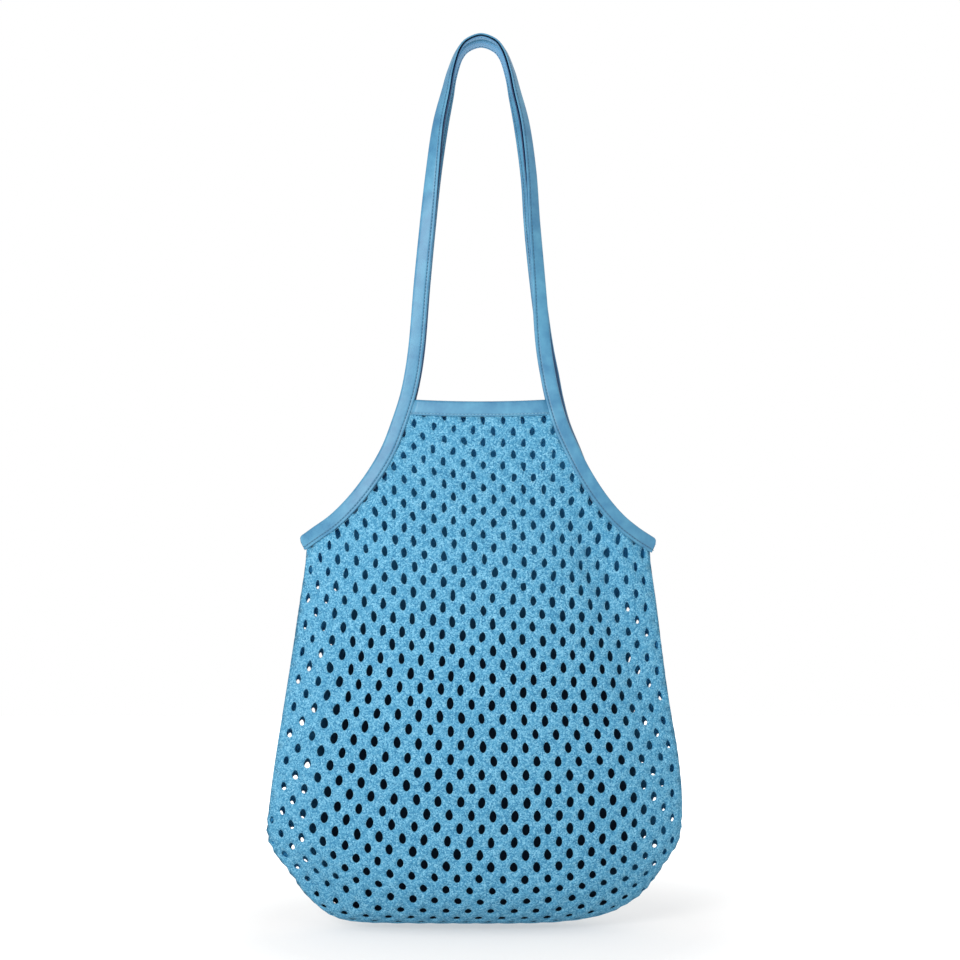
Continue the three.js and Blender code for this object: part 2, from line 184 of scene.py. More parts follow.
# %% A point of the sack


def sack_row(v):
    """The table's columns at fractional rows v: a Catmull-Rom curve through the rows.
    Under the first row stands the second with its depth turned round, so that the sack rounds under."""
    under = SACK_ROWS[1] * (1, 1, 1, 1, -1, 1)
    table = np.vstack([under, SACK_ROWS, 2 * SACK_ROWS[-1] - SACK_ROWS[-2]])
    at = np.clip(np.floor(v).astype(int), 0, TOP_ROW - 1)
    before, start, end, after = (table[at + k] for k in range(4))
    return hermite(start, end, (end - before) / 2, (after - start) / 2, (v - at)[..., None])


def dent_depth(x, z, face):
    """Depth pressed into a face at x, z: the sum of leaning bell shapes exp(-along^2 - across^2)."""
    deep = np.zeros_like(x)
    for x0, z0, lean, length, width, depth, faces in DENTS:
        sin, cos = np.sin(np.radians(lean)), np.cos(np.radians(lean))
        along = ((x - x0 * MM) * sin - (z - z0 * MM) * cos) / (length * MM)
        across = ((x - x0 * MM) * cos + (z - z0 * MM) * sin) / (width * MM)
        deep += (faces in (0, face)) * depth * MM * np.exp(-(along**2) - across**2)
    return deep


def sack_point(row, s, face):
    """Point of a row at s, from -1 at the left end to 1 at the right: x = reach * s, z rises with a power
    of |s|, and y is the half depth times (1 - s^2) to the power of the bulge, less the dents."""
    height, left, right, lift, depth, bulge = np.moveaxis(row, -1, 0)
    x = s * np.where(s < 0, left, right)
    corner = np.where(s < 0, CORNER_LEFT, CORNER_RIGHT)
    z = height + lift * np.abs(s) ** lerp(corner, LIFT_POWER, smoothstep(height, *CORNER_LEVELS))
    full = depth * np.maximum(1 - s**2, 0) ** bulge
    return np.stack([x, face * (full - np.minimum(dent_depth(x, z, face), DENT_LIMIT * full)), z], axis=-1)


print(f"sack {2 * SACK_ROWS[:, 4].max() / MM:.0f} mm deep, before the dents")

# %% [markdown]
# The net's openings need places that are evenly spaced along the cloth. So the sack is laid out
# once as a fine grid: u runs around it, from the left fold over the front to the right fold and
# back behind; v runs up the table's rows. Any point of the cloth is then read from this grid.

# %% Fine grid of the sack
LEVELS = 721
FACE_STEPS = 480  # steps along one face
TRIAL_STEPS = 200  # steps used to measure a row

levels = np.linspace(0, TOP_ROW, LEVELS)
rows = sack_row(levels)


def face_grid(face):
    """One face of the sack at every level, with equal steps along each row: the row is measured at
    trial places, and its running length is turned round to give the place for each share of it."""
    trial = -np.cos(np.linspace(0, np.pi, TRIAL_STEPS + 1))
    points = sack_point(rows[:, None], trial[None], face)
    steps = np.linalg.norm(np.diff(points, axis=1), axis=2)
    run = np.pad(np.cumsum(steps, axis=1), ((0, 0), (1, 0))) / steps.sum(axis=1, keepdims=True)
    apart = 2 * np.arange(LEVELS)[:, None]
    wanted = np.linspace(0, 1, FACE_STEPS + 1)[None] + apart
    s = np.interp(wanted.ravel(), (run + apart).ravel(), np.tile(trial, LEVELS)).reshape(LEVELS, -1)
    return sack_point(rows[:, None], s, face)


front_face, back_face = face_grid(FRONT), face_grid(BACK)
sack = np.concatenate([front_face, back_face[:, -2:0:-1]], axis=1)
around = np.roll(sack, -1, axis=1) - np.roll(sack, 1, axis=1)
across_sack = np.cross(around, np.gradient(sack, axis=0))
folds = [0, FACE_STEPS]
across_sack[0, folds] = across_sack[1, folds]  # on the closing line, the two ends have no width
sack_normals = unit(across_sack)
girth = np.linalg.norm(np.roll(sack, -1, axis=1) - sack, axis=2).sum(axis=1)


def on_sack(grid, u, v):
    """Value of a grid at u around and v up, weighted between its four nearest points."""
    across = np.mod(u, 1) * 2 * FACE_STEPS
    up = np.clip(v / TOP_ROW, 0, 1) * (LEVELS - 1)
    i, j = np.floor(across).astype(int) % (2 * FACE_STEPS), np.minimum(up.astype(int), LEVELS - 2)
    f, g = (across - np.floor(across))[..., None], (up - j)[..., None]
    beside = (i + 1) % (2 * FACE_STEPS)
    return lerp(lerp(grid[j, i], grid[j, beside], f), lerp(grid[j + 1, i], grid[j + 1, beside], f), g)


print(f"girth at the belly {girth.max() / MM:.0f} mm, at the neck {girth[-1] / MM:.0f} mm")

# %% [markdown]
# ## Course of the leather strips
#
# Each handle is one strip: it starts at the left armhole corner, binds the armhole edge, leaves the
# net at the neck, turns on edge as it nears the hook, and comes down the other side. A table gives
# the front strip's centre line; the back strip hangs a little lower and turns less. A Bezier curve
# object could carry the strip, but its twist is hard to rule. Here a centripetal Catmull-Rom curve
# gives the line, and the face's turn at each place is stated in degrees.

# %% Centre line of the front strip
# height, distance to the left and right, turn of the face in degrees on the left and right
STRIP_ROWS = np.array([
    (-398, 146.4, 139, 0, 0),
    (-392, 137.2, 129.6, 0, 0),
    (-385, 127.2, 118.8, 0, 0),
    (-375, 113, 106.4, 0, 0),
    (-360, 97.8, 93.2, 0, 0),
    (-340, 82.6, 80, 0, 0),
    (-320, 71.2, 69.8, 0, 0),
    (-300, 63.5, 61.2, 0, 0),
    (-280, 57.1, 55.4, 0, 0),
    (-262, 53.2, 51.6, 0, 0),
    (-240, 50.1, 48.2, 2, 5),
    (-191, 46.0, 44.5, 5, 27),
    (-142, 41.2, 40.8, 10, 40),
    (-105, 37.5, 38.5, 27, 46),
    (-66, 32.7, 33.6, 45, 56),
    (-40, 26.6, 27.1, 58, 64),
    (-26, 23.3, 23.6, 68, 71),
    (-10, 17.4, 17.4, 80, 80),
    (-3, 11.6, 11.6, 86, 86),
    (1.1, 0, 0, 90, 90),
]) * (MM, MM, MM, 1, 1)
print(f"{len(STRIP_ROWS)} rows on each side, from {STRIP_ROWS[0, 0] / MM:.0f} mm up to the hook")

# %% The front that the strips lie on
NECK_TOP = -281 * MM  # upper edge of the neck trims
STRAIGHT_FROM = 0.97  # share of the half width past which the strips leave the sack's curve
SLOPE_STEP = 0.05 * MM


def front_y(x, z):
    """y of the undented front at x, z, carried on in a straight line past the side fold."""
    row = sack_row(np.interp(z, rows[:, 0], levels))
    left, right, depth, bulge = row[..., 1], row[..., 2], row[..., 4], row[..., 5]
    s = np.abs(x) / np.where(x < 0, left, right)
    inside = np.minimum(s, STRAIGHT_FROM)
    rest = 1 - inside**2
    slope = -2 * inside * bulge * rest ** (bulge - 1)
    return -depth * (rest**bulge + slope * (s - inside))


def front_normal(x, z):
    """Outward normal of the undented front, from the slopes of y along x and z."""
    slope_x = (front_y(x + SLOPE_STEP, z) - front_y(x - SLOPE_STEP, z)) / (2 * SLOPE_STEP)
    slope_z = (front_y(x, z + SLOPE_STEP) - front_y(x, z - SLOPE_STEP)) / (2 * SLOPE_STEP)
    return unit(np.stack([slope_x, -np.ones_like(x), slope_z], axis=-1))


print(f"at the neck, the front stands {-front_y(0, NECK_TOP) / MM:.1f} mm before the middle plane")

# %% Course of a strip
NET_WALL = 2.0 * MM
STRAP_START = -262 * MM  # height where the binding has become a plain strap
HOOK_SPREAD = 6.5 * MM  # distance of each strip from the middle plane on the hook
STRIP_STEPS = 16  # steps from one row of the table to the next
FRONT_DROP = 1.8 * MM  # how far the front strap sags below the table's line at the hook


def strip_course(insets, drop, turn_share):
    """Points along a strip's centre line, with its direction, its outer side and its face at each.
    Rows above the strap's start go over smoothly from the net's surface to the hook. Each row of the table
    is moved in by its left and right insets and down by drop, and turned by a share of its turn."""
    height, left, right, *turns = STRIP_ROWS.T
    rise = smoothstep(height, STRAP_START, 0)
    height = height - drop * rise
    sides = [sign * np.maximum(reach - inset, 0)
             for sign, reach, inset in zip((-1, 1), (left, right), insets)]
    places = [np.stack([x, lerp(front_y(x, height) + NET_WALL / 2, -HOOK_SPREAD, rise), height], axis=1)
              for x in sides]
    route = np.concatenate([places[0], places[1][-2::-1]])
    turn_left, turn_right = (np.radians(turn_share * turn) for turn in turns)
    turns = np.concatenate([turn_left, turn_right[-2::-1]])
    table = np.vstack([2 * route[0] - route[1], route, 2 * route[-1] - route[-2]])
    t = np.linspace(0, len(route) - 1, (len(route) - 1) * STRIP_STEPS + 1)
    at = np.minimum(t.astype(int), len(route) - 2)
    before, start, end, after = (table[at + k] for k in range(4))
    gaps = [np.sqrt(np.linalg.norm(b - a, axis=1, keepdims=True))
            for a, b in ((before, start), (start, end), (end, after))]
    leave = (start - before) / gaps[0] - (end - before) / (gaps[0] + gaps[1]) + (end - start) / gaps[1]
    arrive = (end - start) / gaps[1] - (after - start) / (gaps[1] + gaps[2]) + (after - end) / gaps[2]
    line = hermite(start, end, leave * gaps[1], arrive * gaps[1], (t - at)[:, None])
    along = unit(np.gradient(line, axis=0))
    front = front_normal(line[:, 0], line[:, 2])
    angle = np.interp(t, np.arange(len(route)), turns)[:, None]
    face = np.cos(angle) * front + np.sin(angle) * unit(np.cross(front, along))
    across = unit(np.cross(face, along))
    return {"line": line, "along": along, "across": across, "face": unit(np.cross(along, across))}


front_course = strip_course(insets=(0, 0), drop=FRONT_DROP, turn_share=1)
print(f"front strip {running_length(front_course['line'])[-1] / MM:.0f} mm long")

# %% Course of the back strip
BACK_DROP = 4.4 * MM
# height, distance inside the front strap on the left and on the right, share of the front strap's turn
BACK_ROWS = np.array([
    (-345, 0, 0, 0.75),
    (-320, 0.3, -2.0, 0.75),
    (-262, 0.8, -3.2, 0.75),
    (-225, 0.8, -1.6, 0.75),
    (-191, 0.6, 0.6, 0.75),
    (-142, 0.3, 2.0, 0.75),
    (-105, 0.5, 2.2, 0.75),
    (-85, 0.8, 2.4, 0.75),
    (-66, 1.5, 2.6, 0.75),
    (-40, 0.6, 1.2, 0.82),
    (-26, 0.3, 0.8, 0.9),
    (-10, 0.3, 0.3, 0.93),
    (1.1, 0, 0, 0.84),
]) * (MM, MM, MM, 1)
*insets, turn_share = look_up(BACK_ROWS, STRIP_ROWS[:, 0])
back_course = strip_course(insets, BACK_DROP, turn_share)
print(f"back strip {running_length(back_course['line'])[-1] / MM:.0f} mm long")

# %% [markdown]
# ## The net
#
# The net has about 1,420 almond openings in staggered rows. An image or a bump could only fake them,
# and a Boolean for each would be slow. Instead the cloth is divided into rhombic cells that fit
# together like tiles, with one opening in each: a cell is a rhombus outline, a rim of sixteen points
# and the triangles between them. All cells are computed at once, in units of columns and rows, and are
# then laid on the grid of the sack. Rows lie closer together towards the neck.

# %% Rows of openings
COLUMNS = 44  # openings around the sack, before the folds cut them
# height, and the step from row to row there
ROW_STEPS = np.array([(-680, 10.2), (-640, 9.4), (-560, 10.75), (-440, 9.95), (-300, 8.7)]) * MM
NET_TOP = -284.8 * MM  # the net's edge inside the neck trims
CLOSING_ROW = -0.5  # place of the closing line, in rows: half a row under the lowest openings

meridian = sack_point(rows, np.zeros(LEVELS), FRONT)
climb = np.linalg.norm(np.diff(meridian, axis=0), axis=1)
row_step, = look_up(ROW_STEPS, meridian[1:, 2])
row_count = np.pad(np.cumsum(climb / row_step), (1, 0)) + CLOSING_ROW
top_v = np.interp(NET_TOP, rows[:, 0], levels)
# rows are counted from 0, and one more is cut off at the neck
row_total = int(np.interp(top_v, levels, row_count)) + 2
print(f"{row_total} rows of {COLUMNS} openings before trimming")

# %% [markdown]
# The columns hang down side by side: the sides, the lower corners and the armholes cut them off, as panels
# are cut from one length of net. The net's own weight pulls it wider low down, most of all on the left, so
# a table gives the columns' distance and how it grows away from the middle. The pattern's edges lie
# a quarter of a column beside an opening, so that the openings of the front and of the back take turns.

# %% Columns of openings
PANEL = COLUMNS // 2
FOLD_PHASE = 0.25  # place of the pattern's left edge, in columns
# height, distance between columns in the middle, and its growth to the left and right in thousandths
PITCHES = np.array([
    (-660, 17.3, 0.35, 0.3),
    (-614, 17.05, 0.7, 0.15),
    (-568, 16.5, 1.04, 0.5),
    (-514, 15.75, 1.0, 0.3),
    (-452, 15.25, 0.7, 0.4),
    (-390, 15.25, 0.2, 0),
    (-328, 15.35, 0, 0),
]) * (MM, MM, 0.001, 0.001)


def panel_place(column):
    """For places in columns: whether they are on the back, and how far from the middle of the panel."""
    turn = np.mod(column - FOLD_PHASE, COLUMNS)
    behind = turn >= PANEL
    return behind, turn - PANEL * behind - PANEL / 2


def spread_columns(behind, d, height):
    """For d columns from the middle of a panel: their distance from it, d * pitch * (1 + growth * d^2),
    and the distance between columns there, which is the slope of that."""
    pitch, left, right = look_up(PITCHES, height)
    growth = np.where((d < 0) != behind, left, right)
    return d * pitch * (1 + growth * d**2), pitch * (1 + 3 * growth * d**2)


def around_sack(column, v):
    """Place u around the sack for a column at v, and the room left to the fold there: the distance from the
    panel's middle as a share of the panel, which ends at the folds."""
    behind, d = panel_place(column)
    half_panel = np.interp(v, levels, girth) / 4
    reach, _ = spread_columns(behind, d, np.interp(v, levels, rows[:, 0]))
    share = np.clip(0.5 + reach / (2 * half_panel), 0, 1)
    return (behind + share) / 2, half_panel - np.abs(reach)


print(f"columns {PITCHES[-1, 1] / MM:.1f} mm apart near the neck, {PITCHES[0, 1] / MM:.1f} mm low down")

# %% Outline of every cell
# corners and middles of a cell's sides, in columns and rows; the lowest cells end on the closing line
OUTLINE = np.array([(2, 0), (1, 2), (0, 4), (-1, 2), (-2, 0), (-1, -2), (0, -4), (1, -2)]) / 4
LOWEST = np.array([(2, 0), (1, 2), (0, 4), (-1, 2), (-2, 0), (-2, -2), (0, -2), (2, -2)]) / 4

cell_row, cell_column = (a.ravel() for a in np.mgrid[0:row_total, 0:COLUMNS])
cell_centre = np.stack([cell_column + 0.5 * (cell_row % 2 == 0), cell_row], axis=1).astype(float)
outline = cell_centre[:, None] + np.where((cell_row == 0)[:, None, None], LOWEST, OUTLINE)

cell_v = np.interp(cell_centre[:, 1], row_count, levels)
cell_z = np.interp(cell_v, levels, rows[:, 0])
print(f"{len(cell_v)} cells")

# %% Rim of every opening
RIM_POINTS = 16
# height, and the width and the height of an opening there
HOLES = np.array([
    (-568, 6.0, 9.2),
    (-475, 5.2, 9.1),
    (-390, 4.7, 8.2),
    (-328, 4.3, 7.0),
    (-300, 4.2, 6.8),
]) * MM
HOLE_TAPER, HOLE_POINTED = 0.08, 0.12  # how much narrower an opening is near its top, and near both ends
BOTTOM_FLAT, FLAT_ROWS = 0.7, (4, 9)  # openings near the bottom are less tall
HARMONICS = np.arange(2, 5)
UNEVEN_LOW, UNEVEN_NECK = 0.035, 0.13  # how uneven the rims are
UNEVEN_LEVELS = (-560 * MM, -300 * MM)
SIZE_SPREAD, PLACE_SPREAD, LEAN_SPREAD = 0.035, 0.02, 0.035
SIDE_SMALLER, SIDE_ROOM = 0.16, (10 * MM, 50 * MM)  # openings are smaller beside the folds
CLOSED, CLOSED_ROOM = 0.05, (2.2 * MM, 4.6 * MM)  # openings that would break the fold are left closed
FOLD_TOP = -396 * MM
OPEN_ROOM = 1.0  # above the side folds nothing closes an opening
SEED = 11

draw = np.random.default_rng(SEED)
unevenness = lerp(UNEVEN_LOW, UNEVEN_NECK, smoothstep(cell_z, *UNEVEN_LEVELS)[:, None])
theta = 2 * np.pi * np.arange(RIM_POINTS) / RIM_POINTS
uneven = draw.normal(size=(len(cell_v), len(HARMONICS), 2)) / HARMONICS[:, None]
waves = np.stack([np.cos(np.outer(HARMONICS, theta)), np.sin(np.outer(HARMONICS, theta))], axis=1)
radius = 1 + unevenness * np.einsum("nhk,hkm->nm", uneven, waves)
radius *= 1 + SIZE_SPREAD * draw.normal(size=(len(cell_v), 1))
column_step = look_up(PITCHES, cell_z)[0][:, None]
row_height = look_up(ROW_STEPS, cell_z)[0][:, None]
cell_room = np.where(cell_z < FOLD_TOP, around_sack(cell_centre[:, 0], cell_v)[1], OPEN_ROOM)[:, None]
size = radius * lerp(1 - SIDE_SMALLER, 1, smoothstep(cell_room, *SIDE_ROOM))
size = size * lerp(CLOSED, 1, smoothstep(cell_room, *CLOSED_ROOM))
narrowing = 1 - HOLE_TAPER * np.sin(theta) - HOLE_POINTED * np.sin(theta) ** 2
hole_wide, hole_tall = (column[:, None] for column in look_up(HOLES, cell_z))
half_wide = hole_wide / 2 * size * narrowing
half_tall = hole_tall / 2 * size
half_tall = half_tall * lerp(BOTTOM_FLAT, 1, smoothstep(cell_row, *FLAT_ROWS))[:, None]
rim_x, rim_z = half_wide * np.cos(theta), half_tall * np.sin(theta)
rim_x = rim_x + LEAN_SPREAD * draw.normal(size=(len(cell_v), 1)) * rim_z
rim_centre = cell_centre + PLACE_SPREAD * draw.normal(size=cell_centre.shape)
rim = rim_centre[:, None] + np.stack([rim_x / column_step, rim_z / row_height], axis=2)
print(f"openings {HOLES[-1, 1] / MM:.1f} mm wide near the neck, {HOLES[0, 1] / MM:.1f} mm low down")

# %% [markdown]
# Points that neighbouring cells share get one number, so that the net hangs together. A point's number
# comes from its place in quarter columns and half rows. Along the closing line underneath, the front and
# the back share their points too.

# %% Places of the net's points
KEY_BASE = 1000
PER_COLUMN, PER_ROW = 4, 2  # steps of a key to one column and to one row
CLOSING_KEY = round(PER_ROW * CLOSING_ROW)

keys = np.rint(outline * (PER_COLUMN, PER_ROW)).astype(int)
keys[..., 0] %= PER_COLUMN * COLUMNS
across_fold = np.mod(round(2 * PER_COLUMN * FOLD_PHASE) - keys[..., 0], PER_COLUMN * COLUMNS)
on_closing = keys[..., 1] == CLOSING_KEY
keys[..., 0] = np.where(on_closing, np.minimum(keys[..., 0], across_fold), keys[..., 0])
shared, numbers = np.unique((keys[..., 1] - CLOSING_KEY) * KEY_BASE + keys[..., 0], return_inverse=True)
numbers = numbers.reshape(keys.shape[:2])
shared_rows = (shared // KEY_BASE + CLOSING_KEY) / PER_ROW
shared_places = np.stack([(shared % KEY_BASE) / PER_COLUMN, shared_rows], axis=1)
places = np.concatenate([shared_places, rim.reshape(-1, 2)])
rim_numbers = len(shared) + np.arange(rim.shape[0] * RIM_POINTS).reshape(-1, RIM_POINTS)
print(f"{len(places)} places, {len(shared)} of them shared between cells")

# %% [markdown]
# Seen from the front, the openings of the real bag look dark, because the strands of the back panel
# hang behind them; only beside the folds do some line up and show light. Chance would leave bright spots
# anywhere. So each place of the back panel is spread away from the middle of the view by as much as the
# panels stand apart there, which keeps the back out of step with the front, and beside the folds
# the back slips up by about half a row, more or less in slow waves.

# %% The back panel's place behind the front
SLIP_MEAN, SLIP_SWING = 0.5, 0.3  # rows
SLIP_RIGHT = 0.8  # share of the slip on the right side
SLIP_RISE, SLIP_REACH = 48 * MM, 38 * MM  # from crest to crest, upwards and away from the fold
SLIP_ROOM = np.array([(2, 9), (30, 44)]) * MM  # distances from the fold where the slip begins and ends
SLIP_TOP = (-440 * MM, -412 * MM)  # heights over which the slip ends
BOTTOM_ROWS = (CLOSING_ROW, 2.8)  # rows over which the spread begins, from the closing line upwards
LEAST_RISE = 4 * MM  # smallest rise of a row that the spread is measured with

is_back, from_middle = panel_place(places[:, 0])
net_v = np.interp(places[:, 1], row_count, levels)
net_u, room = around_sack(places[:, 0], net_v)
first_points = on_sack(sack, net_u, net_v)
first_height = first_points[:, 2]
depth = np.abs(first_points[:, 1])
parallax = 2 * depth / (CAMERA_DISTANCE - depth) * is_back
spread = parallax[:, None] * (first_points - VIEW_CENTRE)
slip = smoothstep(room, *SLIP_ROOM[0]) * (1 - smoothstep(room, *SLIP_ROOM[1])) * is_back
slip = slip * np.where(from_middle > 0, 1, SLIP_RIGHT) * (1 - smoothstep(first_height, *SLIP_TOP))
slip = slip * (SLIP_MEAN + SLIP_SWING * np.sin(2 * np.pi * (first_height / SLIP_RISE - room / SLIP_REACH)))
row_rise = np.maximum(np.interp(net_v, levels, np.gradient(meridian[:, 2], row_count)), LEAST_RISE)
moved = spread[:, 2] / row_rise + slip
level_rows = places[:, 1] + moved * smoothstep(places[:, 1], *BOTTOM_ROWS)
print(f"back panel moved by {moved.min():.1f} to {moved.max():.1f} rows")

# %% [markdown]
# The rows aren't level on the real bag, because the soft net hangs a little askew: they fall to the
# right, and near the neck they sag between the straps. Each place slides up or down along the cloth by
# as much as its row falls there, so that the openings themselves stay upright.

# %% Lean of the rows
# height, fall of a row to the right as a share of its length, and growth of that share for each metre
ROW_LEANS = np.array([
    (-660, 0.02, 0.3),
    (-560, 0.025, 0.35),
    (-500, 0.05, 0.4),
    (-440, 0.07, 0.15),
    (-400, 0.07, -0.2),
    (-340, 0.065, -1.4),
    (-300, 0.055, -2.4),
]) * (MM, 1, 1)
LEAN_ROWS = (CLOSING_ROW, 6)  # rows over which the lean begins, from the closing line upwards

lean, bend = look_up(ROW_LEANS, first_height)
sideways = first_points[:, 0]
fall = (lean * sideways + bend * sideways**2 / 2) / row_rise * smoothstep(places[:, 1], *LEAN_ROWS)
net_rows = level_rows - fall
net_v = np.interp(net_rows, row_count, levels)
_, column_gap = spread_columns(is_back, from_middle, first_height)
net_u, room = around_sack(places[:, 0] - spread[:, 0] / column_gap, net_v)
print(f"rows fall by {fall.min():.1f} to {fall.max():.1f} rows")

# %% [markdown]
# The net is cut along the armholes and the neck, just inside the folds of the leather, and at the side
# folds, where the panels meet. Cutting triangles would leave slivers, so points beyond the cut slide
# back onto it along their row, and triangles that end up wholly on the cut are dropped.

# %% Trim at the armholes and the neck
EDGE_REACH = 4.0 * MM  # distance of the net's edge from the strip's centre line
NO_CUT = 1.0  # a limit well outside the sack, for levels under the armholes

course_left = front_course["line"][:, 0] < 0
armhole = front_course["line"][:, 2] < STRAP_START
outward = unit(np.stack([-front_course["along"][:, 2], front_course["along"][:, 0]], axis=1))
cut_line = front_course["line"][:, [0, 2]] + EDGE_REACH * outward


def cut_share(on_side, sign):
    """Share of the front, from its left fold, where the armhole cut meets each level."""
    cut = cut_line[armhole & on_side]
    cut = cut[np.argsort(cut[:, 1])]
    limit = np.interp(rows[:, 0], cut[:, 1], cut[:, 0], left=sign * NO_CUT)[:, None]
    within = np.count_nonzero(front_face[..., 0] < limit, axis=1)
    first = np.clip(within, 1, FACE_STEPS)
    at = np.arange(LEVELS)
    low, high = front_face[at, first - 1, 0], front_face[at, first, 0]
    place = first - 1 + np.clip((limit[:, 0] - low) / (high - low), 0, 1)
    return place / FACE_STEPS / 2


left_cut, right_cut = cut_share(course_left, -1), cut_share(~course_left, 1)
over_top = net_v > top_v
net_v = np.minimum(net_v, top_v)
run = np.where(is_back, 1 - net_u, net_u)
low, high = np.interp(net_v, levels, left_cut), np.interp(net_v, levels, right_cut)
beyond = (run < low) | (run > high)
run = np.clip(run, low, high)
net_u = np.where(is_back, 1 - run, run)
on_cut = beyond | over_top | (room < 0)
print(f"{on_cut.sum()} points moved onto the cut")

# %% [markdown]
# Each cell's triangles reach from its outline to its rim. The same triangles, turned round, make
# the inner side, 2 mm behind. Every edge that only one triangle uses, around the openings and along
# the cut, gets a rounded wall that joins both sides, so that the net is one closed body.

# %% Triangles of the net
SCALLOP, SCALLOP_ROOM = 1.5 * MM, 9 * MM  # how far lower folds are drawn in between rows, and how broadly
SCALLOP_LEVELS = (-625 * MM, -590 * MM)
LEAST_AREA = 1e-9

corner = np.arange(len(OUTLINE))
following = (corner + 1) % len(OUTLINE)
edge_a, edge_b = numbers[:, corner], numbers[:, following]
rim_a, rim_between = rim_numbers[:, 2 * corner], rim_numbers[:, 2 * corner + 1]
rim_b = rim_numbers[:, (2 * corner + 2) % RIM_POINTS]
fans = ((edge_a, edge_b, rim_between), (edge_a, rim_between, rim_a), (edge_b, rim_b, rim_between))
triangles = np.concatenate([np.stack(fan, axis=-1).reshape(-1, 3) for fan in fans])
cut_corners = on_cut[triangles]
net_points = on_sack(sack, net_u, net_v)
low_down = 1 - smoothstep(net_points[:, 2], *SCALLOP_LEVELS)
scallop = SCALLOP * (1 - smoothstep(room, 0, SCALLOP_ROOM)) * low_down
net_points[:, 0] -= np.sign(net_points[:, 0]) * scallop * np.sin(np.pi * level_rows) ** 2
a, b, c = (net_points[triangles[:, k]] for k in range(3))
area = np.linalg.norm(np.cross(b - a, c - a), axis=1) / 2
keep = ~cut_corners.all(axis=1) & (area > LEAST_AREA)
used, triangles = np.unique(triangles[keep], return_inverse=True)
triangles = triangles.reshape(-1, 3)

# %% Both sides and the walls of the net
STRAND_CROWN = 0.35 * MM  # height of a strand's middle over its edges
WALL_ROUND = 0.35 * MM  # how far a rounded wall stands into its opening
PAINTED_SHADE_GAP = (8 * MM, 50 * MM)  # width of the hollow where the inner side's painted shade begins, and where it is darkest
PAINTED_SHADE_BOTTOM = (-668 * MM, -645 * MM)  # painted shade at the bottom too
NECK_PAINTED_LIGHT, NECK_LEVELS = 0.55, (-500 * MM, -390 * MM)  # painted light near the neck: the share of the painted shade taken off there

points, normals = net_points[used], unit(on_sack(sack_normals, net_u, net_v)[used])
is_rim = used >= len(shared)
owner = np.where(is_rim, (used - len(shared)) // RIM_POINTS, 0)
centres = net_points[len(shared):].reshape(-1, RIM_POINTS, 3).mean(axis=1)
inward = np.where(is_rim[:, None], centres[owner] - points, 0)
inward = inward / np.maximum(np.linalg.norm(inward, axis=1, keepdims=True), MM)
lower = np.where(is_rim, STRAND_CROWN, 0)[:, None]
outer = points - normals * lower
inner = points - normals * (NET_WALL - lower)
middle = points - normals * NET_WALL / 2 + inward * WALL_ROUND

edges = triangles[:, [[0, 1], [1, 2], [2, 0]]].reshape(-1, 2)
edge_keys = edges.min(axis=1) * len(used) + edges.max(axis=1)
_, first, uses = np.unique(edge_keys, return_index=True, return_counts=True)
start, end = edges[first[uses == 1]].T
count = len(used)
walls = np.concatenate([
    np.stack([end, start, start + 2 * count, end + 2 * count], axis=1),
    np.stack([end + 2 * count, start + 2 * count, start + count, end + count], axis=1),
])
walls = np.concatenate([walls[:, [0, 1, 2]], walls[:, [0, 2, 3]]])
net_faces = np.concatenate([triangles, triangles[:, ::-1] + count, walls])
kept, net_faces = np.unique(net_faces, return_inverse=True)
net_shell = np.concatenate([outer, inner, middle])[kept]
inside = np.repeat([0, 1, 0.5], count)[kept]  # 0 on the outer side, 1 on the inner side
# painted shade of the inner side: from the hollow's width and the bottom, less near the neck
painted_shade = smoothstep(2 * np.abs(net_shell[:, 1]), *PAINTED_SHADE_GAP)
painted_shade = np.maximum(painted_shade, 1 - smoothstep(net_shell[:, 2], *PAINTED_SHADE_BOTTOM))
painted_shade = painted_shade * (1 - NECK_PAINTED_LIGHT * smoothstep(net_shell[:, 2], *NECK_LEVELS))
net = add_piece("net", net_shell, [net_faces.reshape(-1, 3)], {"inside": inside, "painted_shade": painted_shade})
print(f"{uses.max()} triangles at most on one edge of a side")

# %% [markdown]
# ## Leather strips
#
# A strip of leather is folded lengthwise over the net's edge and sewn through: the fold is the outer
# edge, the two cut edges lie inside. Above the neck the same strip is closed on itself. A
# Solidify or a Bevel on a plain band would not leave the slot that the net enters. So the
# section, a narrow U with a rounded fold and rounded lips, is carried along the centre line,
# and the slot narrows where the net ends. Sewing pulls a shallow groove into both faces.

# %% Sizes of a folded strip
HALF_WIDTH = 6 * MM
BINDING_HALF, STRAP_HALF = 2.6 * MM, 1.55 * MM  # half thickness over the net, and as a strap
BINDING_GAP, STRAP_GAP = 1.25 * MM, 0.45 * MM  # half width of the slot
FOLD_DEPTH = 1.5 * MM  # how far the fold's rounding reaches in from the edge
SLOT_END = 1.7 * MM  # leather left between the slot and the fold's edge
FACE_POINTS, ROUND_POINTS = 25, 6  # points across a face, and around a fold or a lip
CROWN = 0.22 * MM
GROOVE_DEPTH, GROOVE_WIDTH = 0.3 * MM, 0.5 * MM
SEAM_INSET, NECK_SEAM_INSET = 2.3 * MM, 1.4 * MM  # from a seam to the edge, on strips and neck trims
LIP_DARK = (1.7, 2.3)  # angles around the lower lip, from its face to the slot, where its painted shade begins
print(f"strips {2 * HALF_WIDTH / MM:.0f} mm wide, {2 * STRAP_HALF / MM:.1f} mm thick above the neck")

# %% Section of a folded strip


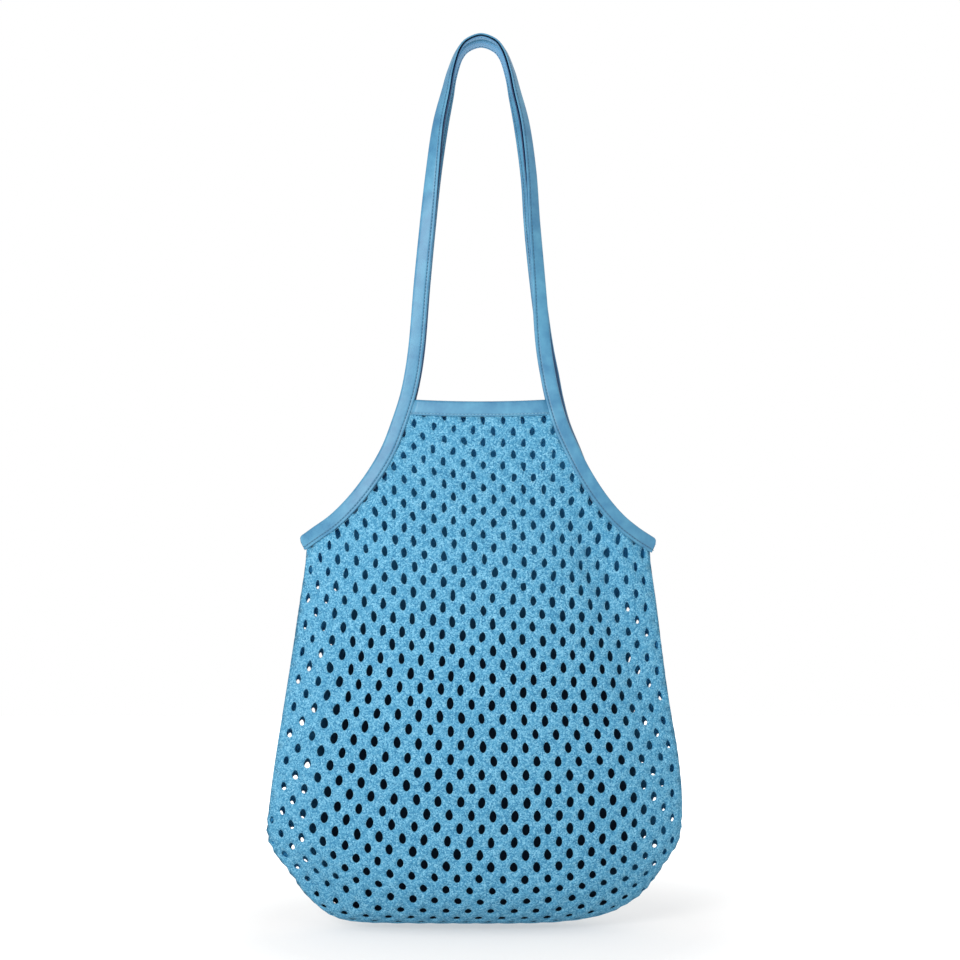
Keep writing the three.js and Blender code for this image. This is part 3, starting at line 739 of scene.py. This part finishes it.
def folded_section(half, gap, edge, inset):
    """Rings of a folded strip, as (across, face) places, with marks for grooves and edges. Each ring runs
    from the fold over the upper face to the lip, through the slot and back over the lower face.
    half and gap are half the thickness and half the slot, edge is where the fold ends, all as columns with
    one row per ring. The seam lies inset from the lips."""
    arc = np.linspace(0, np.pi / 2, ROUND_POINTS)
    lip = np.linspace(np.pi / 2, 3 * np.pi / 2, ROUND_POINTS)
    share = np.linspace(0, 1, FACE_POINTS)[1:-1]
    leather = (half - gap) / 2
    fold = (edge - FOLD_DEPTH + FOLD_DEPTH * np.cos(arc), half * np.sin(arc))
    flat_x = lerp(edge - FOLD_DEPTH, leather - HALF_WIDTH, share)
    rise = CROWN * (1 - (flat_x / HALF_WIDTH) ** 2)
    grooves = np.exp(-(((flat_x + HALF_WIDTH - inset) / GROOVE_WIDTH) ** 2))
    flat_y = half + rise - GROOVE_DEPTH * grooves
    lip_x = leather - HALF_WIDTH + leather * np.cos(lip)
    lip_y = gap + leather + leather * np.sin(lip)
    end = edge - SLOT_END - gap
    slot_x = end + gap * np.cos(arc[::-1])
    slot_y = gap * np.sin(arc[::-1])
    upper_x = np.concatenate([fold[0], flat_x, lip_x, slot_x], axis=1)
    upper_y = np.concatenate([fold[1] + 0 * edge, flat_y, lip_y, slot_y], axis=1)
    zeros = [0 * x for x in (fold[0], flat_x, lip_x, slot_x)]
    groove = np.concatenate([zeros[0], grooves, *zeros[2:]], axis=1)
    at_fold = np.concatenate([zeros[0] + np.cos(arc), *zeros[1:]], axis=1)
    at_lip = np.concatenate([*zeros[:2], zeros[2] + smoothstep(lip, *LIP_DARK), zeros[3] + 1], axis=1)
    none = 0 * at_lip
    back = slice(-2, 0, -1)
    pairs = ((upper_x, upper_x), (upper_y, -upper_y), (groove, groove), (at_fold, at_fold), (none, at_lip))
    ring = [np.concatenate([upper, lower[:, back]], axis=1) for upper, lower in pairs]
    return ring[0], ring[1], {"groove": ring[2], "fold": ring[3], "lip": ring[4]}


# %% Faces between rings


def ring_faces(rings, size):
    """Quads between neighbouring rings of equal size, and one many-sided face at each end."""
    k, i = (a.ravel() for a in np.mgrid[0:rings - 1, 0:size])
    j = (i + 1) % size
    quads = np.stack([k * size + i, k * size + j, (k + 1) * size + j, (k + 1) * size + i], axis=1)
    ends = np.stack([np.arange(size)[::-1], (rings - 1) * size + np.arange(size)])
    return [quads, ends]


# %% [markdown]
# At the side fold, the front strip and the back strip meet, pressed flat against each other. Cutting
# both at the middle plane would be one way. Here y is passed through a curve that never
# reaches the plane, so the strips thin out towards it without crossing.

# %% Front and back strips
MEETING_GAP = 0.15 * MM
MEETING_SOFTNESS = 1.2 * MM
LAST_CENTRE = 2.4 * MM  # the strip ends where its centre line is this far past the middle plane
CORNER_ROUND = 3.0 * MM
INNER_FACE = (0.6, 0.9)  # shares of the half thickness where the inner face begins
# heights between which the slot opens and its lip gets its painted shade, on the left and on the right
OPEN_LEFT, OPEN_RIGHT = (-200 * MM, -110 * MM), (-130 * MM, -95 * MM)
SHUT = 0.25  # share of the slot's width that is left where it is shut
HOOK_LIGHT_LEVELS = (-48 * MM, -18 * MM)  # painted light: near the hook, the inner face is painted paler
SHADE_LEVELS = (-230 * MM, -170 * MM)  # the inner face is in the shade under these


def before_middle(points):
    """Points kept in front of the middle plane: the distance d to it becomes (d + sqrt(d^2 + w^2)) / 2."""
    d = -MEETING_GAP - points[..., 1]
    d = (d + np.sqrt(d**2 + MEETING_SOFTNESS**2)) / 2
    return np.stack([points[..., 0], -MEETING_GAP - d, points[..., 2]], axis=-1)


def strip_surface(course):
    """Rings of one strip along its course, with marks, and with the course's arrays cut to its length."""
    shown = course["line"][:, 1] < LAST_CENTRE
    line, across, face = (course[key][shown] for key in ("line", "across", "face"))
    run = running_length(line)
    to_end = np.minimum(run, run[-1] - run)
    short = np.maximum(CORNER_ROUND - to_end, 0)
    edge = HALF_WIDTH - CORNER_ROUND + np.sqrt(CORNER_ROUND**2 - short**2)
    height = line[:, 2]
    strap = smoothstep(height, NECK_TOP, STRAP_START)
    opened = np.where(line[:, 0] < 0, smoothstep(height, *OPEN_LEFT), smoothstep(height, *OPEN_RIGHT))
    half = lerp(BINDING_HALF, STRAP_HALF, strap)
    gap = lerp(BINDING_GAP, STRAP_GAP * lerp(SHUT, 1, opened), strap)
    x, y, marks = folded_section(half[:, None], gap[:, None], edge[:, None], SEAM_INSET)
    marks["fold"] *= 1 - strap[:, None]
    # painted shade on the lip, for the gap between the straps, where the slot is open
    marks["lip"] *= opened[:, None]
    inner_face = smoothstep(-y / half[:, None], *INNER_FACE)
    marks["shade"] = inner_face * (1 - smoothstep(height, *SHADE_LEVELS))[:, None]
    # painted light on the inner face near the hook
    marks["painted_hook_light"] = inner_face * smoothstep(height, *HOOK_LIGHT_LEVELS)[:, None]
    rings = line[:, None] + x[..., None] * across[:, None] + y[..., None] * face[:, None]
    return before_middle(rings), marks, {"line": line, "across": across, "face": face, "half": half}


def add_rings(name, rings, marks, turn):
    """One piece from its rings; a turn of -1 puts it behind the middle plane, its faces turned to match."""
    faces = [corners[:, ::turn] for corners in ring_faces(*rings.shape[:2])]
    return add_piece(name, rings.reshape(-1, 3) * (1, turn, 1), faces, marks)


front_rings, front_marks, front_cut = strip_surface(front_course)
back_rings, back_marks, back_cut = strip_surface(back_course)
front_strip = add_rings("front_strip", front_rings, front_marks, 1)
back_strip = add_rings("back_strip", back_rings, back_marks, -1)

# %% [markdown]
# ## Neck trims
#
# A short strip is folded over the top edge of each panel, from strap to strap, and its ends are
# tucked into the straps' slots. The same section makes it. Its ends follow the slant of the straps
# and thin out, as leather is pared down where it goes under another piece.

# %% Neck trims
NECK_STEPS = 90
NECK_SAG = 1.5 * MM
TUCK = 1.2 * MM  # how far the ends go into the straps' slots
PARED_HALF, PARED_GAP = 1.2 * MM, 1.06 * MM
PARED_RUN = 3.5 * MM
NECK_EDGE_DROP = 0.2 * MM


def inner_edge(cut, on_left, z):
    """x of a strip's inner edge at heights z."""
    side = (cut["line"][:, 0] < 0) == on_left
    edge = (cut["line"] - cut["across"] * HALF_WIDTH)[side & (cut["line"][:, 2] < STRAP_START)]
    edge = edge[np.argsort(edge[:, 2])]
    return np.interp(z, edge[:, 2], edge[:, 0])


def neck_surface(cut):
    """Rings of the neck trim from the left strap to the right one: the section stands upright with its fold
    on top, and each point's x lies at the ring's share s between the straps' inner edges at its height.
    The trim's middle sags by 4 s (1 - s) of the whole sag."""
    share = np.linspace(0, 1, NECK_STEPS + 1)[:, None]
    middle_z = NECK_TOP - NECK_EDGE_DROP - HALF_WIDTH - NECK_SAG * 4 * share * (1 - share)
    width = inner_edge(cut, False, middle_z) - inner_edge(cut, True, middle_z)
    from_end = np.minimum(share, 1 - share) * width
    pared = 1 - smoothstep(from_end, TUCK, TUCK + PARED_RUN)
    x, y, marks = folded_section(lerp(BINDING_HALF, PARED_HALF, pared), lerp(BINDING_GAP, PARED_GAP, pared),
                                 HALF_WIDTH * np.ones_like(share), NECK_SEAM_INSET)
    z = middle_z + x
    left, right = inner_edge(cut, True, z) - TUCK, inner_edge(cut, False, z) + TUCK
    flat_x = lerp(left, right, share)
    centre = np.stack([flat_x, front_y(flat_x, z) + NET_WALL / 2, z], axis=-1)
    face = front_normal(flat_x, middle_z + 0 * z)
    return centre + y[..., None] * face, {"groove": marks["groove"], "fold": marks["fold"]}


front_neck, neck_marks = neck_surface(front_cut)
back_neck, back_neck_marks = neck_surface(back_cut)
front_neck_trim = add_rings("front_neck_trim", front_neck, neck_marks, 1)
back_neck_trim = add_rings("back_neck_trim", back_neck, back_neck_marks, -1)

# %% [markdown]
# ## Stitches
#
# A lockstitch shows as a row of short, rounded dashes that sit in the groove. They could be drawn by
# a texture, but real little bodies catch the light and cast the small shadows that make a seam. One
# capsule of twenty points is placed at every step of each seam by array arithmetic.

# %% Stitches along a seam
STITCH_STEP, STITCH_LONG, STITCH_RADIUS = 2.7 * MM, 1.9 * MM, 0.36 * MM
STITCH_SIDES = 6
STITCH_TIPS = np.array([-1, -0.75, 0, 0.75, 1])
STITCH_THICK = np.array([0, 0.8, 1, 0.8, 0])


def seam_stitches(line, up):
    """Capsules at equal steps along a line; up is the leather's normal along it."""
    run = running_length(line)
    places = np.arange(STITCH_STEP / 2, run[-1], STITCH_STEP)

    def along_seam(values):
        """Vectors given along the line, read where the stitches are."""
        return np.stack([np.interp(places, run, values[:, k]) for k in range(3)], axis=1)

    centre, normal = along_seam(line), unit(along_seam(up))
    direction = unit(along_seam(np.gradient(line, axis=0)))
    side = np.cross(normal, direction)
    angle = 2 * np.pi * np.arange(STITCH_SIDES) / STITCH_SIDES
    tips = STITCH_TIPS[:, None] * np.ones(STITCH_SIDES) * STITCH_LONG / 2
    wide = STITCH_THICK[:, None] * np.cos(angle) * STITCH_RADIUS
    tall = STITCH_THICK[:, None] * np.sin(angle) * STITCH_RADIUS
    bodies = (centre[:, None, None] + tips[..., None] * direction[:, None, None]
              + wide[..., None] * side[:, None, None] + tall[..., None] * normal[:, None, None])
    return bodies.reshape(len(places), -1, 3)


# %% Faces of the stitches


def stitch_faces(count):
    """Faces of many capsules: quads between their rings, and triangles to the first point of each tip."""
    rings = len(STITCH_TIPS)
    k, i = (a.ravel() for a in np.mgrid[1:rings - 2, 0:STITCH_SIDES])
    j = (i + 1) % STITCH_SIDES
    n = STITCH_SIDES
    quads = np.stack([k * n + i, k * n + j, (k + 1) * n + j, (k + 1) * n + i], axis=1)
    i, j = np.arange(n), (np.arange(n) + 1) % n
    start = np.stack([0 * i, n + j, n + i], axis=1)
    end = np.stack([(rings - 2) * n + i, (rings - 2) * n + j, 0 * i + (rings - 1) * n], axis=1)
    first = (np.arange(count) * rings * n)[:, None, None]
    return [(first + quads).reshape(-1, 4), (first + np.concatenate([start, end])).reshape(-1, 3)]


# %% Lines of the seams


def strip_seams(cut):
    """Lines of the seam of one strip, with their normals: one on each face, from corner to corner."""
    lift = (cut["half"] + CROWN - GROOVE_DEPTH)[:, None] * cut["face"]
    seam = cut["line"] + (SEAM_INSET - HALF_WIDTH) * cut["across"]
    return [(before_middle(seam + sign * lift), sign * cut["face"]) for sign in (1, -1)]


def neck_seams(rings):
    """Lines of the two seams along the lower edge of a neck trim, read from its rings at the grooves."""
    groove = np.argsort(neck_marks["groove"][NECK_STEPS // 2])[-2:]
    middle = rings.mean(axis=1)
    return [(rings[:, i], unit(rings[:, i] - middle)) for i in groove]


# %% All the stitches


def add_stitches(name, seams, turn):
    """One piece with all the stitches of some seams; turn is -1 for the back of the bag."""
    bodies = np.concatenate([seam_stitches(line, up) for line, up in seams])
    faces = stitch_faces(len(bodies))
    used, numbers = np.unique(np.concatenate([f.ravel() for f in faces]), return_inverse=True)
    sizes = np.cumsum([f.size for f in faces])[:-1]
    faces = [n.reshape(f.shape) for n, f in zip(np.split(numbers.ravel(), sizes), faces)]
    points = bodies.reshape(-1, 3)[used] * (1, turn, 1)
    return add_piece(name, points, [f[:, ::turn] for f in faces])


front_stitches = add_stitches("front_stitches", strip_seams(front_cut), 1)
back_stitches = add_stitches("back_stitches", strip_seams(back_cut), -1)
front_neck_stitches = add_stitches("front_neck_stitches", neck_seams(front_neck), 1)
back_neck_stitches = add_stitches("back_neck_stitches", neck_seams(back_neck), -1)

# %% [markdown]
# ## Finishes
#
# Node trees are quickest to read as sums and products. A small class wraps a node's output; +, - and *
# on it add Math nodes, and one method adds any other node. Patterns read Object coordinates,
# because the pieces stand at the origin and the pattern's scale is then in metres.

# %% A socket that can be calculated with


class Finish:
    """One output of a node in a material; arithmetic on it adds Math nodes to the same tree."""

    def __init__(self, tree, socket=None):
        self.tree, self.socket = tree, socket

    def node(self, kind, settings, inputs, output=0):
        """Adds a node: its settings first, then the values or links of its sockets."""
        made = self.tree.nodes.new(kind)
        for key, value in settings.items():
            setattr(made, key, value)
        for key, value in inputs.items():
            if isinstance(value, Finish):
                self.tree.links.new(value.socket, made.inputs[key])
            else:
                made.inputs[key].default_value = value
        return Finish(self.tree, made.outputs[output]) if made.outputs else None

    def math(self, operation, first, second):
        """A Math node on two numbers or sockets."""
        return self.node("ShaderNodeMath", {"operation": operation}, {0: first, 1: second})

    def __add__(self, other):
        return self.math("ADD", self, other)

    def __sub__(self, other):
        return self.math("SUBTRACT", self, other)

    def __rsub__(self, other):
        return self.math("SUBTRACT", other, self)

    def __mul__(self, other):
        return self.math("MULTIPLY", self, other)

    __radd__, __rmul__ = __add__, __mul__

    def mix(self, colour_a, colour_b):
        """Colours mixed by this value, from a at 0 to b at 1."""
        settings = {"data_type": "RGBA", "clamp_factor": True}
        return self.node("ShaderNodeMix", settings, {0: self, 6: colour_a, 7: colour_b}, 2)

    def noise(self, scale, detail=2.0, rough=0.5):
        """Cloudy noise over this vector, with spots of about 1 / scale."""
        inputs = {"Vector": self, "Scale": scale, "Detail": detail, "Roughness": rough}
        return self.node("ShaderNodeTexNoise", {}, inputs)

    def mark(self, name):
        """A number that was stored on the piece's points under a name."""
        return self.node("ShaderNodeAttribute", {"attribute_name": name}, {}, "Fac")

    def between(self, low, high):
        """This value, spread so that low becomes 0 and high becomes 1."""
        return self.node("ShaderNodeMapRange", {"clamp": True}, {0: self, 1: low, 2: high})


# %% Helpers for finishes


def colour(red, green, blue):
    """A display colour, 0 to 255, as the linear colour that the nodes use."""
    c = np.array([red, green, blue]) / 255
    return (*np.where(c < 0.04045, c / 12.92, ((c + 0.055) / 1.055) ** 2.4), 1.0)


def new_finish(name):
    """An empty material, a start for calculations in it, and its Object coordinates."""
    material = bpy.data.materials.new(name)
    material.use_nodes = True
    material.node_tree.nodes.clear()
    start = Finish(material.node_tree)
    return material, start, start.node("ShaderNodeTexCoord", {}, {}, "Object")


def surface(material, start, **sockets):
    """Ends a material with the shader whose sockets are given."""
    inputs = {key.replace("_", " "): value for key, value in sockets.items()}
    shader = start.node("ShaderNodeBsdfPrincipled", {}, inputs)
    start.node("ShaderNodeOutputMaterial", {}, {"Surface": shader})
    print(f"{material.name}: {len(material.node_tree.nodes)} nodes")


def bump(start, height, strength, distance):
    """Normals tilted by a height."""
    return start.node("ShaderNodeBump", {}, {"Height": height, "Strength": strength, "Distance": distance})


# %% [markdown]
# ### Net
#
# The net is knitted from a fuzzy blue yarn: close to, its face is a salt-and-pepper of light and dark blue
# grains under 2 mm across. A noise alone is too soft for that. A Voronoi texture divides the face into
# grains, each with a chance tone and a rounded top, and a finer noise breaks them up.
# The inner side, marked on the points, gets a painted shade, darkest where the hollow is wide and at the
# bottom, and lifted by a painted light near the neck.

# %% Finish of the net
NET_DEEP, NET_MID, NET_LIGHT = colour(34, 92, 128), colour(70, 134, 166), colour(126, 180, 204)
# painted shade of the inner side, where the hollow is narrow and where it is wide
INSIDE_SHADE_NEAR, INSIDE_SHADE_DEEP = colour(50, 136, 188), colour(8, 30, 48)
GRAINS, FUZZ, YARN_CLOUDS = 1000, 1500, 70  # to a metre
TONE_SHARE, FUZZ_SHARE, CLOUD_SHARE = 0.55, 0.45, 0.25
TO_MID, TO_LIGHT = (0.1, 0.5), (0.5, 0.9)  # tones of grain that go from deep to middle, and on to light
FUZZ_SPAN, CLOUD_SPAN, INSIDE_SPAN = (0.3, 0.7), (0.35, 0.75), (0.2, 0.8)
GRAIN_RELIEF, FUZZ_RELIEF = 0.6 * MM, 0.5  # height of the grains, and the share of it that fuzz adds

net_finish, start, place = new_finish("net_yarn")
grains = {"Vector": place, "Scale": GRAINS}
tones, edges_of_grains = (start.node("ShaderNodeTexVoronoi", {"feature": "F1"}, grains, output)
                          for output in ("Color", "Distance"))
tone = start.node("ShaderNodeSeparateColor", {}, {0: tones}, 0)
fuzz = place.noise(FUZZ, rough=0.6)
grain = tone * TONE_SHARE + fuzz.between(*FUZZ_SPAN) * FUZZ_SHARE
cloud = place.noise(YARN_CLOUDS)
yarn = grain.between(*TO_MID).mix(NET_DEEP, NET_MID)
yarn = grain.between(*TO_LIGHT).mix(yarn, NET_LIGHT)
yarn = (cloud.between(*CLOUD_SPAN) * CLOUD_SHARE).mix(yarn, NET_MID)
# painted shade on the inner side and the walls of the openings
painted_inner_shade = start.mark("painted_shade").mix(INSIDE_SHADE_NEAR, INSIDE_SHADE_DEEP)
yarn = start.mark("inside").between(*INSIDE_SPAN).mix(yarn, painted_inner_shade)
relief = bump(start, fuzz * FUZZ_RELIEF - edges_of_grains, strength=0.6, distance=GRAIN_RELIEF)
surface(net_finish, start, Base_Color=yarn, Roughness=0.9, Specular_IOR_Level=0.15, Normal=relief)
net.data.materials.append(net_finish)

# %% [markdown]
# ### Leather and thread
#
# The strips are smooth coated leather in the same blue, a little clouded, with a fine pebble that
# only shows in the sheen. Grooves and the lips by the slots get a painted shade, which on the lips stands
# for the gap between the two straps, and the fold of the binding is darker along its edge. Low down, the
# inner face gets a painted shade too, and near the hook a painted light makes it paler. Each of these
# places could have a material of its own, but its border would be hard. Here the marks on the points fade
# one finish into the next. The straps' thread is a darker blue, a painted shade, and the neck's a lighter
# one, a painted highlight.

# %% Finish of the leather
LEATHER_LIGHT, LEATHER_DEEP, LEATHER_SHADE = colour(74, 134, 162), colour(38, 98, 134), colour(20, 66, 104)
# the groove's and the lip's colours are painted shade
LEATHER_GROOVE_SHADE, LEATHER_EDGE, LEATHER_LIP_SHADE = colour(38, 82, 110), colour(56, 76, 92), colour(2, 36, 72)
# painted light on the inner face near the hook
LEATHER_PAINTED_LIGHT = colour(72, 134, 172)
LEATHER_CLOUDS, PEBBLES = 70, 900  # to a metre
HIDE_SPAN, FOLD_SPAN = (0.25, 0.75), (0.75, 1.0)
GROOVE_SHARE, COAT = 0.55, 0.14
SMOOTHEST, ROUGHER = 0.4, 0.15  # least roughness of the leather, and how much its clouds add

leather_finish, start, place = new_finish("blue_leather")
clouding = place.noise(LEATHER_CLOUDS, detail=4.0, rough=0.6)
pebble = place.noise(PEBBLES)
marks = {name: start.mark(name) for name in ("groove", "fold", "lip", "shade", "painted_hook_light")}
hide = clouding.between(*HIDE_SPAN).mix(LEATHER_DEEP, LEATHER_LIGHT)
# painted shade in the seam grooves
hide = (marks["groove"] * GROOVE_SHARE).mix(hide, LEATHER_GROOVE_SHADE)
hide = marks["fold"].between(*FOLD_SPAN).mix(hide, LEATHER_EDGE)
# painted shade on the lips
hide = marks["lip"].mix(hide, LEATHER_LIP_SHADE)
hide = marks["shade"].mix(hide, LEATHER_SHADE)
hide = marks["painted_hook_light"].mix(hide, LEATHER_PAINTED_LIGHT)
surface(leather_finish, start, Base_Color=hide, Roughness=clouding * ROUGHER + SMOOTHEST,
        Specular_IOR_Level=0.4,
        Coat_Weight=(1 - marks["lip"]) * (1 - marks["shade"]) * COAT, Coat_Roughness=0.3,
        Normal=bump(start, pebble + clouding, strength=0.25, distance=0.2 * MM))
for piece in (front_strip, back_strip, front_neck_trim, back_neck_trim):
    piece.data.materials.append(leather_finish)

# %% Finishes of the threads
# painted shade: the straps' thread is darker; painted highlight: the neck's thread is lighter
STRAP_THREAD, STRAP_THREAD_SHADE = colour(48, 94, 120), colour(34, 74, 100)
NECK_THREAD, NECK_THREAD_SHADE = colour(112, 160, 182), colour(84, 132, 158)
TWIST = 1500  # to a metre


def thread_finish(name, tone, shade):
    """A dull thread whose twist shows as fine noise between two tones."""
    material, start, place = new_finish(name)
    twist = place.noise(TWIST, detail=1.0)
    surface(material, start, Base_Color=twist.mix(shade, tone), Roughness=0.75,
            Normal=bump(start, twist, strength=0.3, distance=0.1 * MM))
    return material


strap_thread = thread_finish("strap_thread", STRAP_THREAD, STRAP_THREAD_SHADE)
neck_thread = thread_finish("neck_thread", NECK_THREAD, NECK_THREAD_SHADE)
for piece in (front_stitches, back_stitches):
    piece.data.materials.append(strap_thread)
for piece in (front_neck_stitches, back_neck_stitches):
    piece.data.materials.append(neck_thread)

# %% [markdown]
# ## Floor and light
#
# The bag hangs just over a pale floor in a white room. A bright world lights it evenly from all
# sides, and one large lamp in front, high on the left, adds the soft modelling of a studio. The floor is
# painted grey near the bag, a painted shadow that fades to white with the distance, and it has a faint
# glow, so that the shadow under the bag stays pale. A bare white floor would do as well, but would lose
# that shadow.

# %% Floor
FLOOR_HALF = 1.6
FLOOR_LEVEL = -690 * MM
# painted shadow: the floor is grey near the bag
FLOOR_PAINTED_SHADOW, PAPER_FAR, GLOW = colour(178, 177, 176), colour(254, 254, 254), 0.44
PAINTED_SHADOW_FADE = (0.71, 0.82)  # distances from the origin over which the painted shadow fades to white

corners = np.array([(-1, -1), (1, -1), (1, 1), (-1, 1)]) * FLOOR_HALF
floor = add_piece("floor", np.column_stack([corners, np.full(4, FLOOR_LEVEL)]), [np.arange(4)[None]])
floor_finish, start, place = new_finish("floor_white")
from_bag = start.node("ShaderNodeVectorMath", {"operation": "LENGTH"}, {0: place}, "Value")
painted_floor_shadow = from_bag.between(*PAINTED_SHADOW_FADE).mix(FLOOR_PAINTED_SHADOW, PAPER_FAR)
surface(floor_finish, start, Base_Color=painted_floor_shadow, Roughness=0.9,
        Emission_Color=(1, 1, 1, 1), Emission_Strength=GLOW)
floor.data.materials.append(floor_finish)

# %% World and lamp
LAMP_POWER, LAMP_SIZE = 25.3, 0.9
LAMP_PLACE, LAMP_TILT, LAMP_TURN = (-0.8, -1.7, 0.15), 72, -25  # angles in degrees

world = bpy.data.worlds.new("studio")
world.use_nodes = True
background = world.node_tree.nodes["Background"].inputs
background["Color"].default_value = (1, 1, 1, 1)
background["Strength"].default_value = 1.0
bpy.context.scene.world = world
bpy.context.scene.view_settings.view_transform = "Standard"

lamp = bpy.data.lights.new("key", "AREA")
lamp.shape, lamp.size, lamp.energy = "DISK", LAMP_SIZE, LAMP_POWER
key = bpy.data.objects.new("key", lamp)
key.location = LAMP_PLACE
key.rotation_euler = (np.radians(LAMP_TILT), 0, np.radians(LAMP_TURN))
bpy.context.collection.objects.link(key)
print(f"key lamp {LAMP_POWER} W, floor {FLOOR_LEVEL / MM:.0f} mm")

# %% [markdown]
# ## Hand the pieces over
#
# Every piece moves with the one rigid body of the bag, and the solid that it stands for is hidden.

# %% Bodies, solids and slots
pieces = [
    (net, "net", "mesh_body"),
    (front_strip, "leather", "front_handle"),
    (back_strip, "leather", "back_handle"),
    (front_neck_trim, "leather", "front_neck_binding"),
    (back_neck_trim, "leather", "back_neck_binding"),
    (front_stitches, "leather", None),
    (back_stitches, "leather", None),
    (front_neck_stitches, "leather", None),
    (back_neck_stitches, "leather", None),
]
for piece, slot, node in pieces:
    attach(piece, "root")
    if node:
        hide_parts(node)
print(f"{len(pieces)} pieces ride with the bag")
